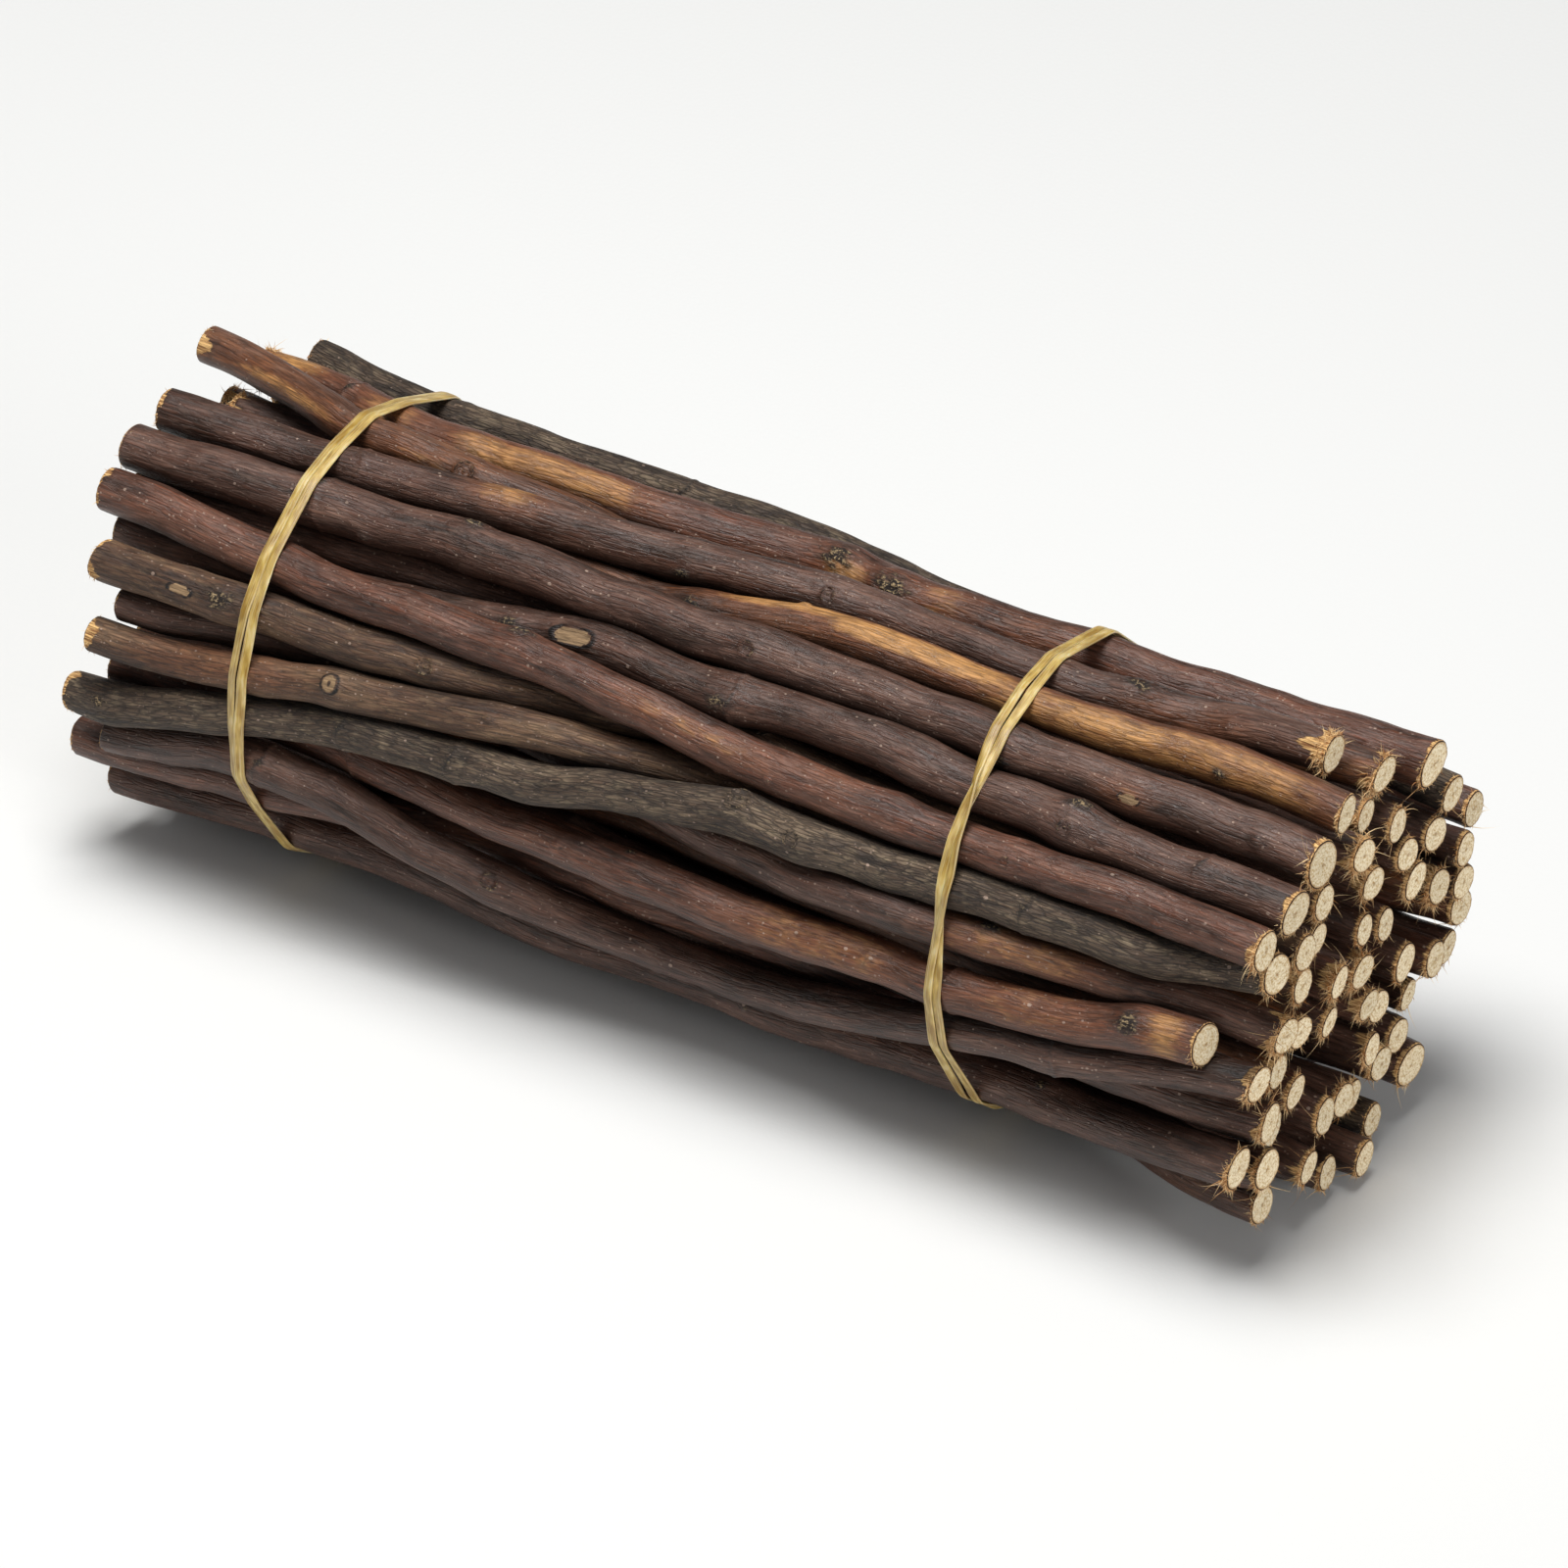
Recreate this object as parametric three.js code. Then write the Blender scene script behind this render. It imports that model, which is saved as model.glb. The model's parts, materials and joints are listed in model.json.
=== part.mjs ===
// A bundle of cut twigs held by two rubber bands, lying on its side.
// Millimetres, +Z up, +X along the twigs. The sawn ends at +X are the ones laid out by hand.
import * as THREE from "three";
import { mergeVertices } from "three/addons/utils/BufferGeometryUtils.js";

// ---- driving dimensions ----
const BUNDLE_RADIUS = 52;        // from the bundle's axis to the outside of the outer twigs
const TWIG_LENGTH = 300;
const HALF_LENGTH = TWIG_LENGTH / 2;
const CLEARANCE = 0.3;           // air between two pieces that lie against each other
const BAND_WIDTH = 3.3;
const BAND_THICKNESS = 1.0;
const BAND_ARC_STEP = 24;        // degrees between a band's corners where it rounds one twig
const BANDS = [
  { name: "rubber_band_left", x: -106, slantY: 0.0, slantZ: -0.02 },
  { name: "rubber_band_right", x: 72, slantY: -0.05, slantZ: -0.03 },
];
const FLOOR = -BUNDLE_RADIUS;    // lowest level of the twigs, measured from the axis
const HELD_FROM = BANDS[0].x - 10;
const HELD_TO = BANDS[1].x + 36; // between these two x the lowest twigs lie straight and level

// ---- the stations where a twig may bend ----
const STATION_COUNT = 13;
const STATION_STEP = 27.5;
const FIRST_STATION = -168;
const STATIONS = Array.from({ length: STATION_COUNT }, (_, k) => FIRST_STATION + STATION_STEP * k);
const LAST = STATION_COUNT - 1;
const SPLAY = 6;                 // extra room for the twigs beyond the bands
const BULGE = 3.5;               // extra room halfway between the bands
const LAYER_STEP = 8.6;          // from one layer of twigs to the next one inwards
const STIFFNESS = 0.25;          // how far a shove on a twig is felt along it
const SETTLING_ROUNDS = 500;     // rounds in which the twigs are drawn to their places
const PARTING_ROUNDS = 2500;     // most rounds in which they are only pushed apart
const GOOD_ENOUGH = 0.02;        // overlap at which the pushing stops
const TWIG_SIDES = 8;
const END_SLANT = 0.1;           // steepest slope of a sawn end

// ---- the twigs that show on the top and on the near side ----
// cut: middle of the sawn end across (y) and up (z) from the axis; wide: diameter there;
// slim: diameter at the other end over that; reach and back: the x of the two ends;
// clock: angle round the axis in degrees, 0 on top and growing towards -Y, at GUIDES;
// layer: 0 on the outside, 1 one twig further in, at GUIDES.
const GUIDES = [-150, -125, -100, -75, -50, -25, 0, 25, 50, 75, 100, 125];
const SHOWN = [
  { cut: [37.5, 26], wide: 8.8, slim: 0.96, reach: 150, back: -143, bark: "grey_green",
    clock: [-44, -42, -41, -41, -42, -45, -50, -52, -53, -54, -55, -55],
    layer: [-0.6, -0.4, -0.1, -0.2, -0.25, -0.25, -0.3, -0.1, 0, 0, 0, 0] },
  { cut: [29.5, 40], wide: 11.6, slim: 0.84, reach: 150, back: -149, bark: "red_brown",
    clock: [-34, -21, -18, -18, -19, -24, -31, -27, -26, -33, -36, -37],
    layer: [0.1, 0, 0, 0, 0, 0, 0, 0, 0, 0, -0.1, -0.1] },
  { cut: [15, 44.5], wide: 9.2, slim: 0.92, reach: 146, back: -159, bark: "orange_tan",
    clock: [-21, -7, -1, -3, -8, -12, -14, -16, -17, -18, -19, -19],
    layer: [-0.2, -0.1, 0, 0, 0.7, 1, 1, 1, 1, 0.9, 0.8, 0.4] },
  { cut: [5, 52], wide: 9.8, slim: 1.0, reach: 138.5, back: -152, bark: "purple_brown",
    clock: [13, 12, 10, 6, 6, 2, -3, -6, -3, -3, -9, -10],
    layer: [0, 0, 0, 0, 0, 0, 0, 0, 0, 0, 0, -0.3] },
  { cut: [-17.5, 40], wide: 11, slim: 1.0, reach: 150, back: -154, bark: "purple_brown",
    clock: [28, 25, 24, 22, 21, 23, 24, 22, 22, 24, 23, 23],
    layer: [0, 0, 0, 0, 0, 0, 0, 0, 0, 0, 0, 0] },
  { cut: [-7, 46.5], wide: 9.4, slim: 0.98, reach: 149, back: -147, bark: "orange_tan",
    clock: [8, 10, 11, 10, 9, 11, 13, 8, 7, 10, 6, 5],
    layer: [1.5, 1.3, 1.2, 1.1, 1, 0.8, 0.25, 0, 0, 0, 0, 0] },
  { cut: [-43, 33], wide: 9.6, slim: 1.04, reach: 150, back: -154, bark: "red_brown",
    clock: [40, 43, 45, 47, 46, 46, 48, 51, 52, 53, 53, 53],
    layer: [0, 0, 0, 0, 0, 0, 0, 0, 0, 0, 0, 0] },
  { cut: [-30.5, 36], wide: 10.8, slim: 0.94, reach: 151, back: -151, bark: "purple_brown",
    clock: [49, 49, 43, 42, 39, 36, 36, 35, 35, 37, 40, 40],
    layer: [0.9, 0.9, 1, 0.9, 0.4, 0.1, 0, 0, 0, 0, 0, 0] },
  { cut: [-25, 22], wide: 8.6, slim: 1.12, reach: 151, back: -149, bark: "grey_green",
    clock: [60, 59, 58, 56, 55, 53, 51, 50, 50, 49, 48, 47],
    layer: [0, 0, 0, 0, 0.1, 0.4, 0.9, 1, 1, 1, 1, 1.2] },
  { cut: [-30.5, 3.5], wide: 8.8, slim: 0.95, reach: 151, back: -143, bark: "purple_brown",
    clock: [70, 68, 64, 64, 66, 69, 73, 75, 76, 74, 72, 73],
    layer: [0.3, 0.5, 1, 1, 1, 1, 0.6, 0.2, 0.1, 0.1, 0.2, 0.6] },
  { cut: [-22.5, 11.5], wide: 9, slim: 0.92, reach: 149, back: -147.5, bark: "grey_green",
    clock: [79, 80, 73, 68, 64, 61, 60, 60, 60, 60, 60, 61],
    layer: [0, 0, 0, 0, 0, 0.2, 0.8, 1.1, 1.4, 1.7, 2, 2.3] },
  { cut: [-34.5, 24.5], wide: 9.7, slim: 0.95, reach: 150, back: -154, bark: "grey_green",
    clock: [107, 95, 84, 80, 78, 73, 68, 66, 65, 64, 64, 61],
    layer: [0, 0, 0, 0, 0, 0, 0, 0, 0, 0, 0, 0.3] },
  { cut: [-28.5, -26.5], wide: 9, slim: 0.97, reach: 145, back: -158, bark: "red_brown",
    clock: [125, 117, 113, 110, 110, 112, 114, 116, 118, 120, 123, 126],
    layer: [0, 0, 0, 0.4, 0.9, 1, 1, 1, 1, 1, 1, 1] },
  { cut: [-40.5, -1], wide: 8.8, slim: 1.08, reach: 150, back: -145, bark: "purple_brown",
    clock: [112, 104, 101, 107, 115, 121, 124, 123, 114, 106, 100, 94],
    layer: [0, 0, 0, 0, 0, 0, 0, 0, 0, 0, 0, 0] },
  { cut: [-46, -22.5], wide: 10.4, slim: 0.95, reach: 147, back: -152, bark: "purple_brown",
    clock: [141, 140, 140, 140, 140, 140, 141, 140, 139, 136, 131, 125],
    layer: [-0.4, -0.4, 0, -0.1, -0.3, -0.4, -0.3, -0.6, -0.5, -0.2, -0.2, -0.1] },
  { cut: [-45.5, 8], wide: 10, slim: 0.93, reach: 139, back: -148, bark: "red_brown",
    clock: [100, 98, 97, 96, 95, 94, 94, 94, 93, 93, 90, 84],
    layer: [1.2, 1.1, 1, 0.8, 0.4, 0.1, 0, 0, 0, 0, 0, 0] },
  { cut: [-37.5, -30.5], wide: 9.6, slim: 0.96, reach: 149, back: -151, bark: "purple_brown",
    clock: [152, 151, 150, 149, 148, 148, 147, 147, 147, 146, 143, 138],
    layer: [0.7, 0.8, 1, 1, 1, 1, 1, 1, 0.9, 0.7, 0.4, 0.2] },
  { cut: [-48, -34.5], wide: 9, slim: 1.05, reach: 148, back: -146, bark: "orange_tan",
    clock: [152, 151, 151, 152, 152, 153, 153, 153, 152, 152, 150, 146],
    layer: [0, 0, 0, 0, 0, 0, 0, 0, 0, 0, 0, -0.2] },
  { cut: [-36.5, -14.5], wide: 9.6, slim: 0.94, reach: 150, back: -153, bark: "purple_brown",
    clock: [110, 108, 108, 108, 108, 108, 108, 109, 110, 111, 112, 112],
    layer: [1.6, 1.5, 1.4, 1.3, 1.2, 1.1, 1.1, 1, 0.9, 0.7, 0.6, 0.5] },
];

// ---- the twigs that come to the outside only behind and below ----
const HIDDEN_SIDE = [
  { cut: [51.5, 11], wide: 9, reach: 150, turn: -66 },
  { cut: [42, 12.5], wide: 9, reach: 151, turn: -79 },
  { cut: [44, 1], wide: 9.2, reach: 151, turn: -92 },
  { cut: [46.5, -9.5], wide: 9.3, reach: 149, turn: -105 },
  { cut: [43, -19], wide: 9, reach: 149, turn: -118 },
  { cut: [25.5, -20.5], wide: 8.2, reach: 148, turn: -129 },
  { cut: [24, -41], wide: 11.8, reach: 150, turn: -146 },
  { cut: [8.5, -42.5], wide: 9, reach: 149, turn: -165, lies: true },
  { cut: [-0.5, -46.5], wide: 9.4, reach: 153, turn: 180, lies: true },
  { cut: [-10, -45], wide: 9.2, reach: 150, turn: 165, lies: true },
];

// ---- the sawn ends of the twigs inside the bundle: [y, z, diameter, reach] ----
const CORE = [
  [32, 20, 9, 150], [7, 38.5, 8.6, 146], [17, 30, 9, 150], [0.5, 33.5, 9, 151],
  [20, 20.5, 9, 150], [24.5, 11, 10.5, 150], [36, 3, 9.7, 150], [7.5, 20, 9, 149],
  [-14.5, 28.5, 9.4, 150], [3, 11, 8.6, 151], [13, 6.5, 8.6, 149], [-15.5, 19, 9, 150],
  [-9, 4.5, 9, 150], [3.5, -0.5, 9, 150], [22.5, -10, 10.8, 150], [33, -15.5, 9.5, 150],
  [4.5, -9, 8.6, 150], [12, -15, 8.6, 149], [-11, -5, 8.2, 150], [-22.5, -0.5, 8.8, 150],
  [7, -23, 8.6, 150], [13, -31, 9, 149], [22, -30, 9, 148], [-31.5, -6, 9, 150],
  [-24, -16.5, 9.4, 150], [-13.5, -28, 9.4, 151], [-2.5, -31, 9, 150],
  [5, -34.5, 8.6, 148], [-20, -38.5, 9.4, 150],
];

// ---- bark ----
const BARKS = {
  purple_brown: new THREE.MeshStandardMaterial({ color: 0x4d3533, roughness: 0.55, metalness: 0 }),
  red_brown: new THREE.MeshStandardMaterial({ color: 0x6b4337, roughness: 0.55, metalness: 0 }),
  orange_tan: new THREE.MeshStandardMaterial({ color: 0x8a5a36, roughness: 0.6, metalness: 0 }),
  grey_green: new THREE.MeshStandardMaterial({ color: 0x56514a, roughness: 0.7, metalness: 0 }),
};
const RUBBER = new THREE.MeshStandardMaterial({ color: 0xb5995a, roughness: 0.45, metalness: 0 });
// how readily a twig gives way to its neighbours, and how firmly it keeps its own course
const SHOWN_MANNER = { gives: 0.3, hold: 0.3, bends: true };
const HIDDEN_MANNER = { gives: 0.6, hold: 0.05, bends: true };
const CORE_MANNER = { gives: 1, hold: 0.03, bends: false };

/** A repeatable stream of numbers from 0 to 1. */
function seededRandom(seed) {
  let state = seed >>> 0;
  return () => {
    state = (state + 0x6d2b79f5) >>> 0;
    let mixed = Math.imul(state ^ (state >>> 15), 1 | state);
    mixed = (mixed + Math.imul(mixed ^ (mixed >>> 7), 61 | mixed)) ^ mixed;
    return ((mixed ^ (mixed >>> 14)) >>> 0) / 4294967296;
  };
}

const random = seededRandom(20);
const between = (low, high) => low + (high - low) * random();

/** Value at x of the straight lines through (xs[i], ys[i]); level beyond the two ends. */
function lookUp(xs, ys, x) {
  if (x <= xs[0]) return ys[0];
  for (let i = 1; i < xs.length; i += 1) {
    if (x <= xs[i]) {
      const share = (x - xs[i - 1]) / (xs[i] - xs[i - 1]);
      return ys[i - 1] + (ys[i] - ys[i - 1]) * share;
    }
  }
  return ys[ys.length - 1];
}

/** The point of a cross-section at a clock angle in degrees and a distance from the axis. */
function clockPoint(degrees, distance) {
  const angle = THREE.MathUtils.degToRad(degrees);
  return [-Math.sin(angle) * distance, Math.cos(angle) * distance];
}

/** The clock angle in degrees of a point of a cross-section, within half a turn of near. */
function clockOf([y, z], near) {
  const angle = THREE.MathUtils.radToDeg(Math.atan2(-y, z));
  return angle + 360 * Math.round((near - angle) / 360);
}

/** A twig before it is packed: where it wants to be at each station, and how strongly. */
function makeTwig(row, wanted, manner) {
  const { wide, slim, reach, back, bark, lies = false } = row;
  const radii = STATIONS.map((x) => {
    const share = (x + HALF_LENGTH) / TWIG_LENGTH;
    return (wide / 2) * (slim + (1 - slim) * THREE.MathUtils.clamp(share, 0, 1));
  });
  return { radii, reach, back, bark, lies, wanted, middle: wanted.map((p) => [...p]), ...manner };
}

/** A twig that shows: it follows its clock angles and layers, and ends at its cut. */
function shownTwig(row) {
  const xs = [...GUIDES, row.reach];
  const clocks = [...row.clock, clockOf(row.cut, row.clock[row.clock.length - 1])];
  const cutDistance = Math.hypot(...row.cut);
  const distances = row.layer.map((layer) => BUNDLE_RADIUS - row.wide / 2 - layer * LAYER_STEP);
  distances.push(cutDistance);
  const wanted = STATIONS.map((x) => clockPoint(lookUp(xs, clocks, x), lookUp(xs, distances, x)));
  return makeTwig(row, wanted, SHOWN_MANNER);
}

/** A slow sideways sway along a twig, as it grew: a function of x that gives millimetres. */
function sway(size) {
  const waves = [[between(170, 260), size], [between(80, 120), 0.5 * size]];
  const starts = waves.map(() => between(0, 2 * Math.PI));
  return (x) => waves.reduce((sum, [length, height], i) => (
    sum + height * Math.sin((2 * Math.PI * x) / length + starts[i])), 0);
}

/** A twig on the far side or underneath, which sways a little round its own place. */
function hiddenSideTwig(row) {
  const slim = between(0.92, 1.06);
  const back = -between(144, 157);
  const swayRound = sway(row.lies ? 0.8 : 2.4);
  const xs = [-HALF_LENGTH, HELD_TO, row.reach];
  const clocks = [row.turn, row.turn, clockOf(row.cut, row.turn)];
  const skin = BUNDLE_RADIUS - row.wide / 2;
  const distances = [skin, skin, Math.hypot(...row.cut)];
  const wanted = STATIONS.map((x) => {
    const swung = THREE.MathUtils.radToDeg(swayRound(x) / skin);
    return clockPoint(lookUp(xs, clocks, x) + swung, lookUp(xs, distances, x));
  });
  const bark = ["purple_brown", "red_brown", "purple_brown", "grey_green"][Math.floor(between(0, 4))];
  return makeTwig({ ...row, slim, back, bark }, wanted, HIDDEN_MANNER);
}

/** A twig inside the bundle: its far end has drifted away from under its sawn end. */
function coreTwig([y, z, wide, reach]) {
  const slim = between(0.9, 1.08);
  const back = -between(143, 158);
  const drift = [between(-7, 7), between(-7, 7)];
  const sways = [sway(1.8), sway(1.8)];
  const wanted = STATIONS.map((x) => {
    const away = THREE.MathUtils.clamp((reach - x) / TWIG_LENGTH, 0, 1);
    return [y, z].map((start, axis) => start + drift[axis] * away + sways[axis](x) * away);
  });
  const bark = ["purple_brown", "red_brown", "orange_tan", "purple_brown"][Math.floor(between(0, 4))];
  return makeTwig({ wide, slim, reach, back, bark }, wanted, CORE_MANNER);
}

/** How far from the axis the outside of a twig may be at a station. */
function roomAt(x) {
  const left = Math.max(0, BANDS[0].x - x) / (HALF_LENGTH + BANDS[0].x);
  const right = Math.max(0, x - BANDS[1].x) / (HALF_LENGTH - BANDS[1].x);
  if (left > 0 || right > 0) return BUNDLE_RADIUS + SPLAY * Math.min(1, Math.max(left, right));
  return BUNDLE_RADIUS + BULGE * Math.sin((Math.PI * (x - BANDS[0].x)) / (BANDS[1].x - BANDS[0].x));
}
const ROOM = STATIONS.map(roomAt);
const IS_HELD_DOWN = STATIONS.map((x) => x >= HELD_FROM && x <= HELD_TO);

/** Pushes two twigs apart along one interval; returns how much they were in each other. */
function separate(a, b, k) {
  const startY = b.middle[k][0] - a.middle[k][0];
  const startZ = b.middle[k][1] - a.middle[k][1];
  const runY = b.middle[k + 1][0] - a.middle[k + 1][0] - startY;
  const runZ = b.middle[k + 1][1] - a.middle[k + 1][1] - startZ;
  const run = runY * runY + runZ * runZ;
  const nearest = run > 1e-9 ? -(startY * runY + startZ * runZ) / run : 0;
  const share = THREE.MathUtils.clamp(nearest, 0, 1);
  const y = startY + runY * share;
  const z = startZ + runZ * share;
  const apart = Math.max(Math.hypot(y, z), 1e-6);
  const thickest = Math.max(a.radii[k] + b.radii[k], a.radii[k + 1] + b.radii[k + 1]);
  const overlap = thickest + CLEARANCE - apart;
  if (overlap <= 0) return 0;
  const weight = ((1 - share) ** 2 + share ** 2) * (a.gives + b.gives);
  for (const [twig, sign] of [[a, -1], [b, 1]]) {
    const push = (sign * twig.gives * overlap) / (weight * apart);
    twig.middle[k][0] += push * (1 - share) * y;
    twig.middle[k][1] += push * (1 - share) * z;
    twig.middle[k + 1][0] += push * share * y;
    twig.middle[k + 1][1] += push * share * z;
  }
  return overlap;
}

/** Keeps a twig inside the bundle and above the floor at every station. */
function contain(twig, squeeze) {
  for (let k = 0; k <= LAST; k += 1) {
    const point = twig.middle[k];
    const limit = ROOM[k] - twig.radii[k];
    const distance = Math.hypot(point[0], point[1]);
    if (distance > limit) {
      const scale = 1 + (limit / distance - 1) * squeeze;
      point[0] *= scale;
      point[1] *= scale;
    }
    const lowest = FLOOR + twig.radii[k];
    if (point[1] < lowest) point[1] = lowest;
    if (twig.lies && IS_HELD_DOWN[k]) point[1] = lowest;
  }
}

/** Draws a twig towards its wanted places, and spreads a shove out along its length. */
function relax(twig, strength) {
  const off = (k, axis) => twig.middle[k][axis] - twig.wanted[k][axis];
  for (let k = 0; k <= LAST; k += 1) {
    for (const axis of [0, 1]) twig.middle[k][axis] -= off(k, axis) * twig.hold * strength;
  }
  for (let k = 1; k < LAST; k += 1) {
    for (const axis of [0, 1]) {
      const halfway = (off(k - 1, axis) + off(k + 1, axis)) / 2;
      twig.middle[k][axis] += (halfway - off(k, axis)) * STIFFNESS * strength;
    }
  }
}

/** Keeps the odd stations of a core twig on the straight line between its even ones. */
function straighten(twig) {
  if (twig.bends) return;
  for (let k = 1; k < LAST; k += 2) {
    for (const axis of [0, 1]) {
      twig.middle[k][axis] = (twig.middle[k - 1][axis] + twig.middle[k + 1][axis]) / 2;
    }
  }
}

/** Settles all the twigs side by side; returns the worst overlap that is left. */
function packTwigs(twigs) {
  let worst = 0;
  for (let round = 0; round < SETTLING_ROUNDS + PARTING_ROUNDS; round += 1) {
    const strength = Math.max(0, 1 - round / SETTLING_ROUNDS);
    if (strength > 0) twigs.forEach((twig) => relax(twig, strength));
    worst = 0;
    for (let i = 0; i < twigs.length; i += 1) {
      for (let j = i + 1; j < twigs.length; j += 1) {
        for (let k = 0; k < LAST; k += 1) {
          worst = Math.max(worst, separate(twigs[i], twigs[j], k));
        }
      }
    }
    twigs.forEach((twig) => {
      contain(twig, strength > 0 ? 1 : 0.5);
      straighten(twig);
    });
    if (strength === 0 && worst < GOOD_ENOUGH) break;
  }
  return worst;
}

/** The middle and radius of a packed twig at any x. */
function sectionAt(twig, x) {
  const place = THREE.MathUtils.clamp((x - FIRST_STATION) / STATION_STEP, 0, LAST - 1e-9);
  const k = Math.floor(place);
  const share = place - k;
  const mix = (from, to) => from + (to - from) * share;
  return {
    y: mix(twig.middle[k][0], twig.middle[k + 1][0]),
    z: mix(twig.middle[k][1], twig.middle[k + 1][1]),
    radius: mix(twig.radii[k], twig.radii[k + 1]),
  };
}

/** The solid of one twig: a cylinder bent through its stations, each end sawn on a slant. */
function twigGeometry(twig) {
  const inner = STATIONS.slice(1, LAST).filter((_, k) => twig.bends || k % 2 === 1);
  const rings = [twig.back, ...inner, twig.reach];
  const slants = [0, 1].map(() => [between(-END_SLANT, END_SLANT), between(-END_SLANT, END_SLANT)]);
  const geometry = new THREE.CylinderGeometry(1, 1, 1, TWIG_SIDES, rings.length - 1);
  geometry.rotateY(Math.PI / TWIG_SIDES);
  const position = geometry.attributes.position;
  for (let i = 0; i < position.count; i += 1) {
    const ring = Math.round((position.getY(i) + 0.5) * (rings.length - 1));
    const across = position.getZ(i);
    const up = position.getX(i);
    let x = rings[ring];
    const slant = ring === 0 ? slants[0] : slants[1];
    if (ring === 0 || ring === rings.length - 1) {
      const radius = sectionAt(twig, x).radius;
      x += (slant[0] * across + slant[1] * up) * radius;
    }
    const section = sectionAt(twig, x);
    position.setXYZ(i, x, section.y + across * section.radius, section.z + up * section.radius);
  }
  geometry.deleteAttribute("normal");
  geometry.deleteAttribute("uv");
  const merged = mergeVertices(geometry, 1e-4);
  merged.computeVertexNormals();
  return merged;
}

/** The circle that holds a twig's cross-sections over the whole width of a band. */
function circleUnder(twig, slantedX) {
  const rough = sectionAt(twig, slantedX(0, 0));
  const x = slantedX(rough.y, rough.z);
  const [one, other] = [-0.5, 0.5].map((side) => sectionAt(twig, x + side * BAND_WIDTH));
  return {
    y: (one.y + other.y) / 2,
    z: (one.z + other.z) / 2,
    radius: Math.max(one.radius, other.radius) + Math.hypot(one.y - other.y, one.z - other.z) / 2,
  };
}

/** The line drawn tight round circles at an offset, level where it lies under the lowest ones. */
function tightOutline(circles, offset) {
  const heading = (degree) => {
    const angle = THREE.MathUtils.degToRad(degree);
    return [Math.cos(angle), Math.sin(angle)];
  };
  const outermost = (degree) => {
    const [y, z] = heading(degree);
    const reachOf = (circle) => circle.y * y + circle.z * z + circle.radius;
    return circles.reduce((best, circle) => (reachOf(circle) > reachOf(best) ? circle : best));
  };
  const corners = [];
  for (let degree = 0; degree < 360; degree += 1) {
    const circle = outermost(degree);
    const isTurn = circle !== outermost(degree - 1) || circle !== outermost(degree + 1);
    if (isTurn || degree % BAND_ARC_STEP === 0) {
      const [y, z] = heading(degree);
      const out = circle.radius + offset;
      const level = FLOOR - offset;
      corners.push(new THREE.Vector2(circle.y + out * y, Math.max(circle.z + out * z, level)));
    }
  }
  return corners;
}

/** The solid of one band: a flat ring drawn tight round the twigs. */
function bandGeometry(band, twigs) {
  const slantedX = (y, z) => band.x + band.slantY * y + band.slantZ * z;
  const circles = twigs.map((twig) => circleUnder(twig, slantedX));
  const shape = new THREE.Shape(tightOutline(circles, CLEARANCE + BAND_THICKNESS));
  shape.holes.push(new THREE.Path(tightOutline(circles, CLEARANCE)));
  const geometry = new THREE.ExtrudeGeometry(shape, { depth: BAND_WIDTH, bevelEnabled: false });
  const position = geometry.attributes.position;
  for (let i = 0; i < position.count; i += 1) {
    const y = position.getX(i);
    const z = position.getY(i);
    position.setXYZ(i, slantedX(y, z) + position.getZ(i) - BAND_WIDTH / 2, y, z);
  }
  geometry.deleteAttribute("normal");
  geometry.deleteAttribute("uv");
  const merged = mergeVertices(geometry, 1e-4);
  merged.computeVertexNormals();
  return merged;
}

const twigs = [
  ...SHOWN.map(shownTwig),
  ...HIDDEN_SIDE.map(hiddenSideTwig),
  ...CORE.map(coreTwig),
];
const worstOverlap = packTwigs(twigs);
if (worstOverlap > CLEARANCE) throw new Error(`twigs still overlap by ${worstOverlap} mm`);

const bundle = new THREE.Group();
twigs.forEach((twig, index) => {
  const mesh = new THREE.Mesh(twigGeometry(twig), BARKS[twig.bark]);
  mesh.name = `twig_${String(index + 1).padStart(2, "0")}`;
  bundle.add(mesh);
});
BANDS.forEach((band) => {
  const mesh = new THREE.Mesh(bandGeometry(band, twigs), RUBBER);
  mesh.name = band.name;
  bundle.add(mesh);
});

const bounds = new THREE.Box3().setFromObject(bundle, true);
const centre = bounds.getCenter(new THREE.Vector3());
bundle.position.set(-centre.x, -centre.y, -bounds.min.z);

export default bundle;
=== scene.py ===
"""A bundle of cut willow twigs held by two doubled latex bands, finished around its frame.

Each twig and each band follows its own solid in the frame. Blender's meshes are in metres;
names that end in _mm, and every course, relief and pattern, are in millimetres.
"""

import json
import logging
import math
from dataclasses import dataclass, field, replace
from enum import Enum
from typing import Any

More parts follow.
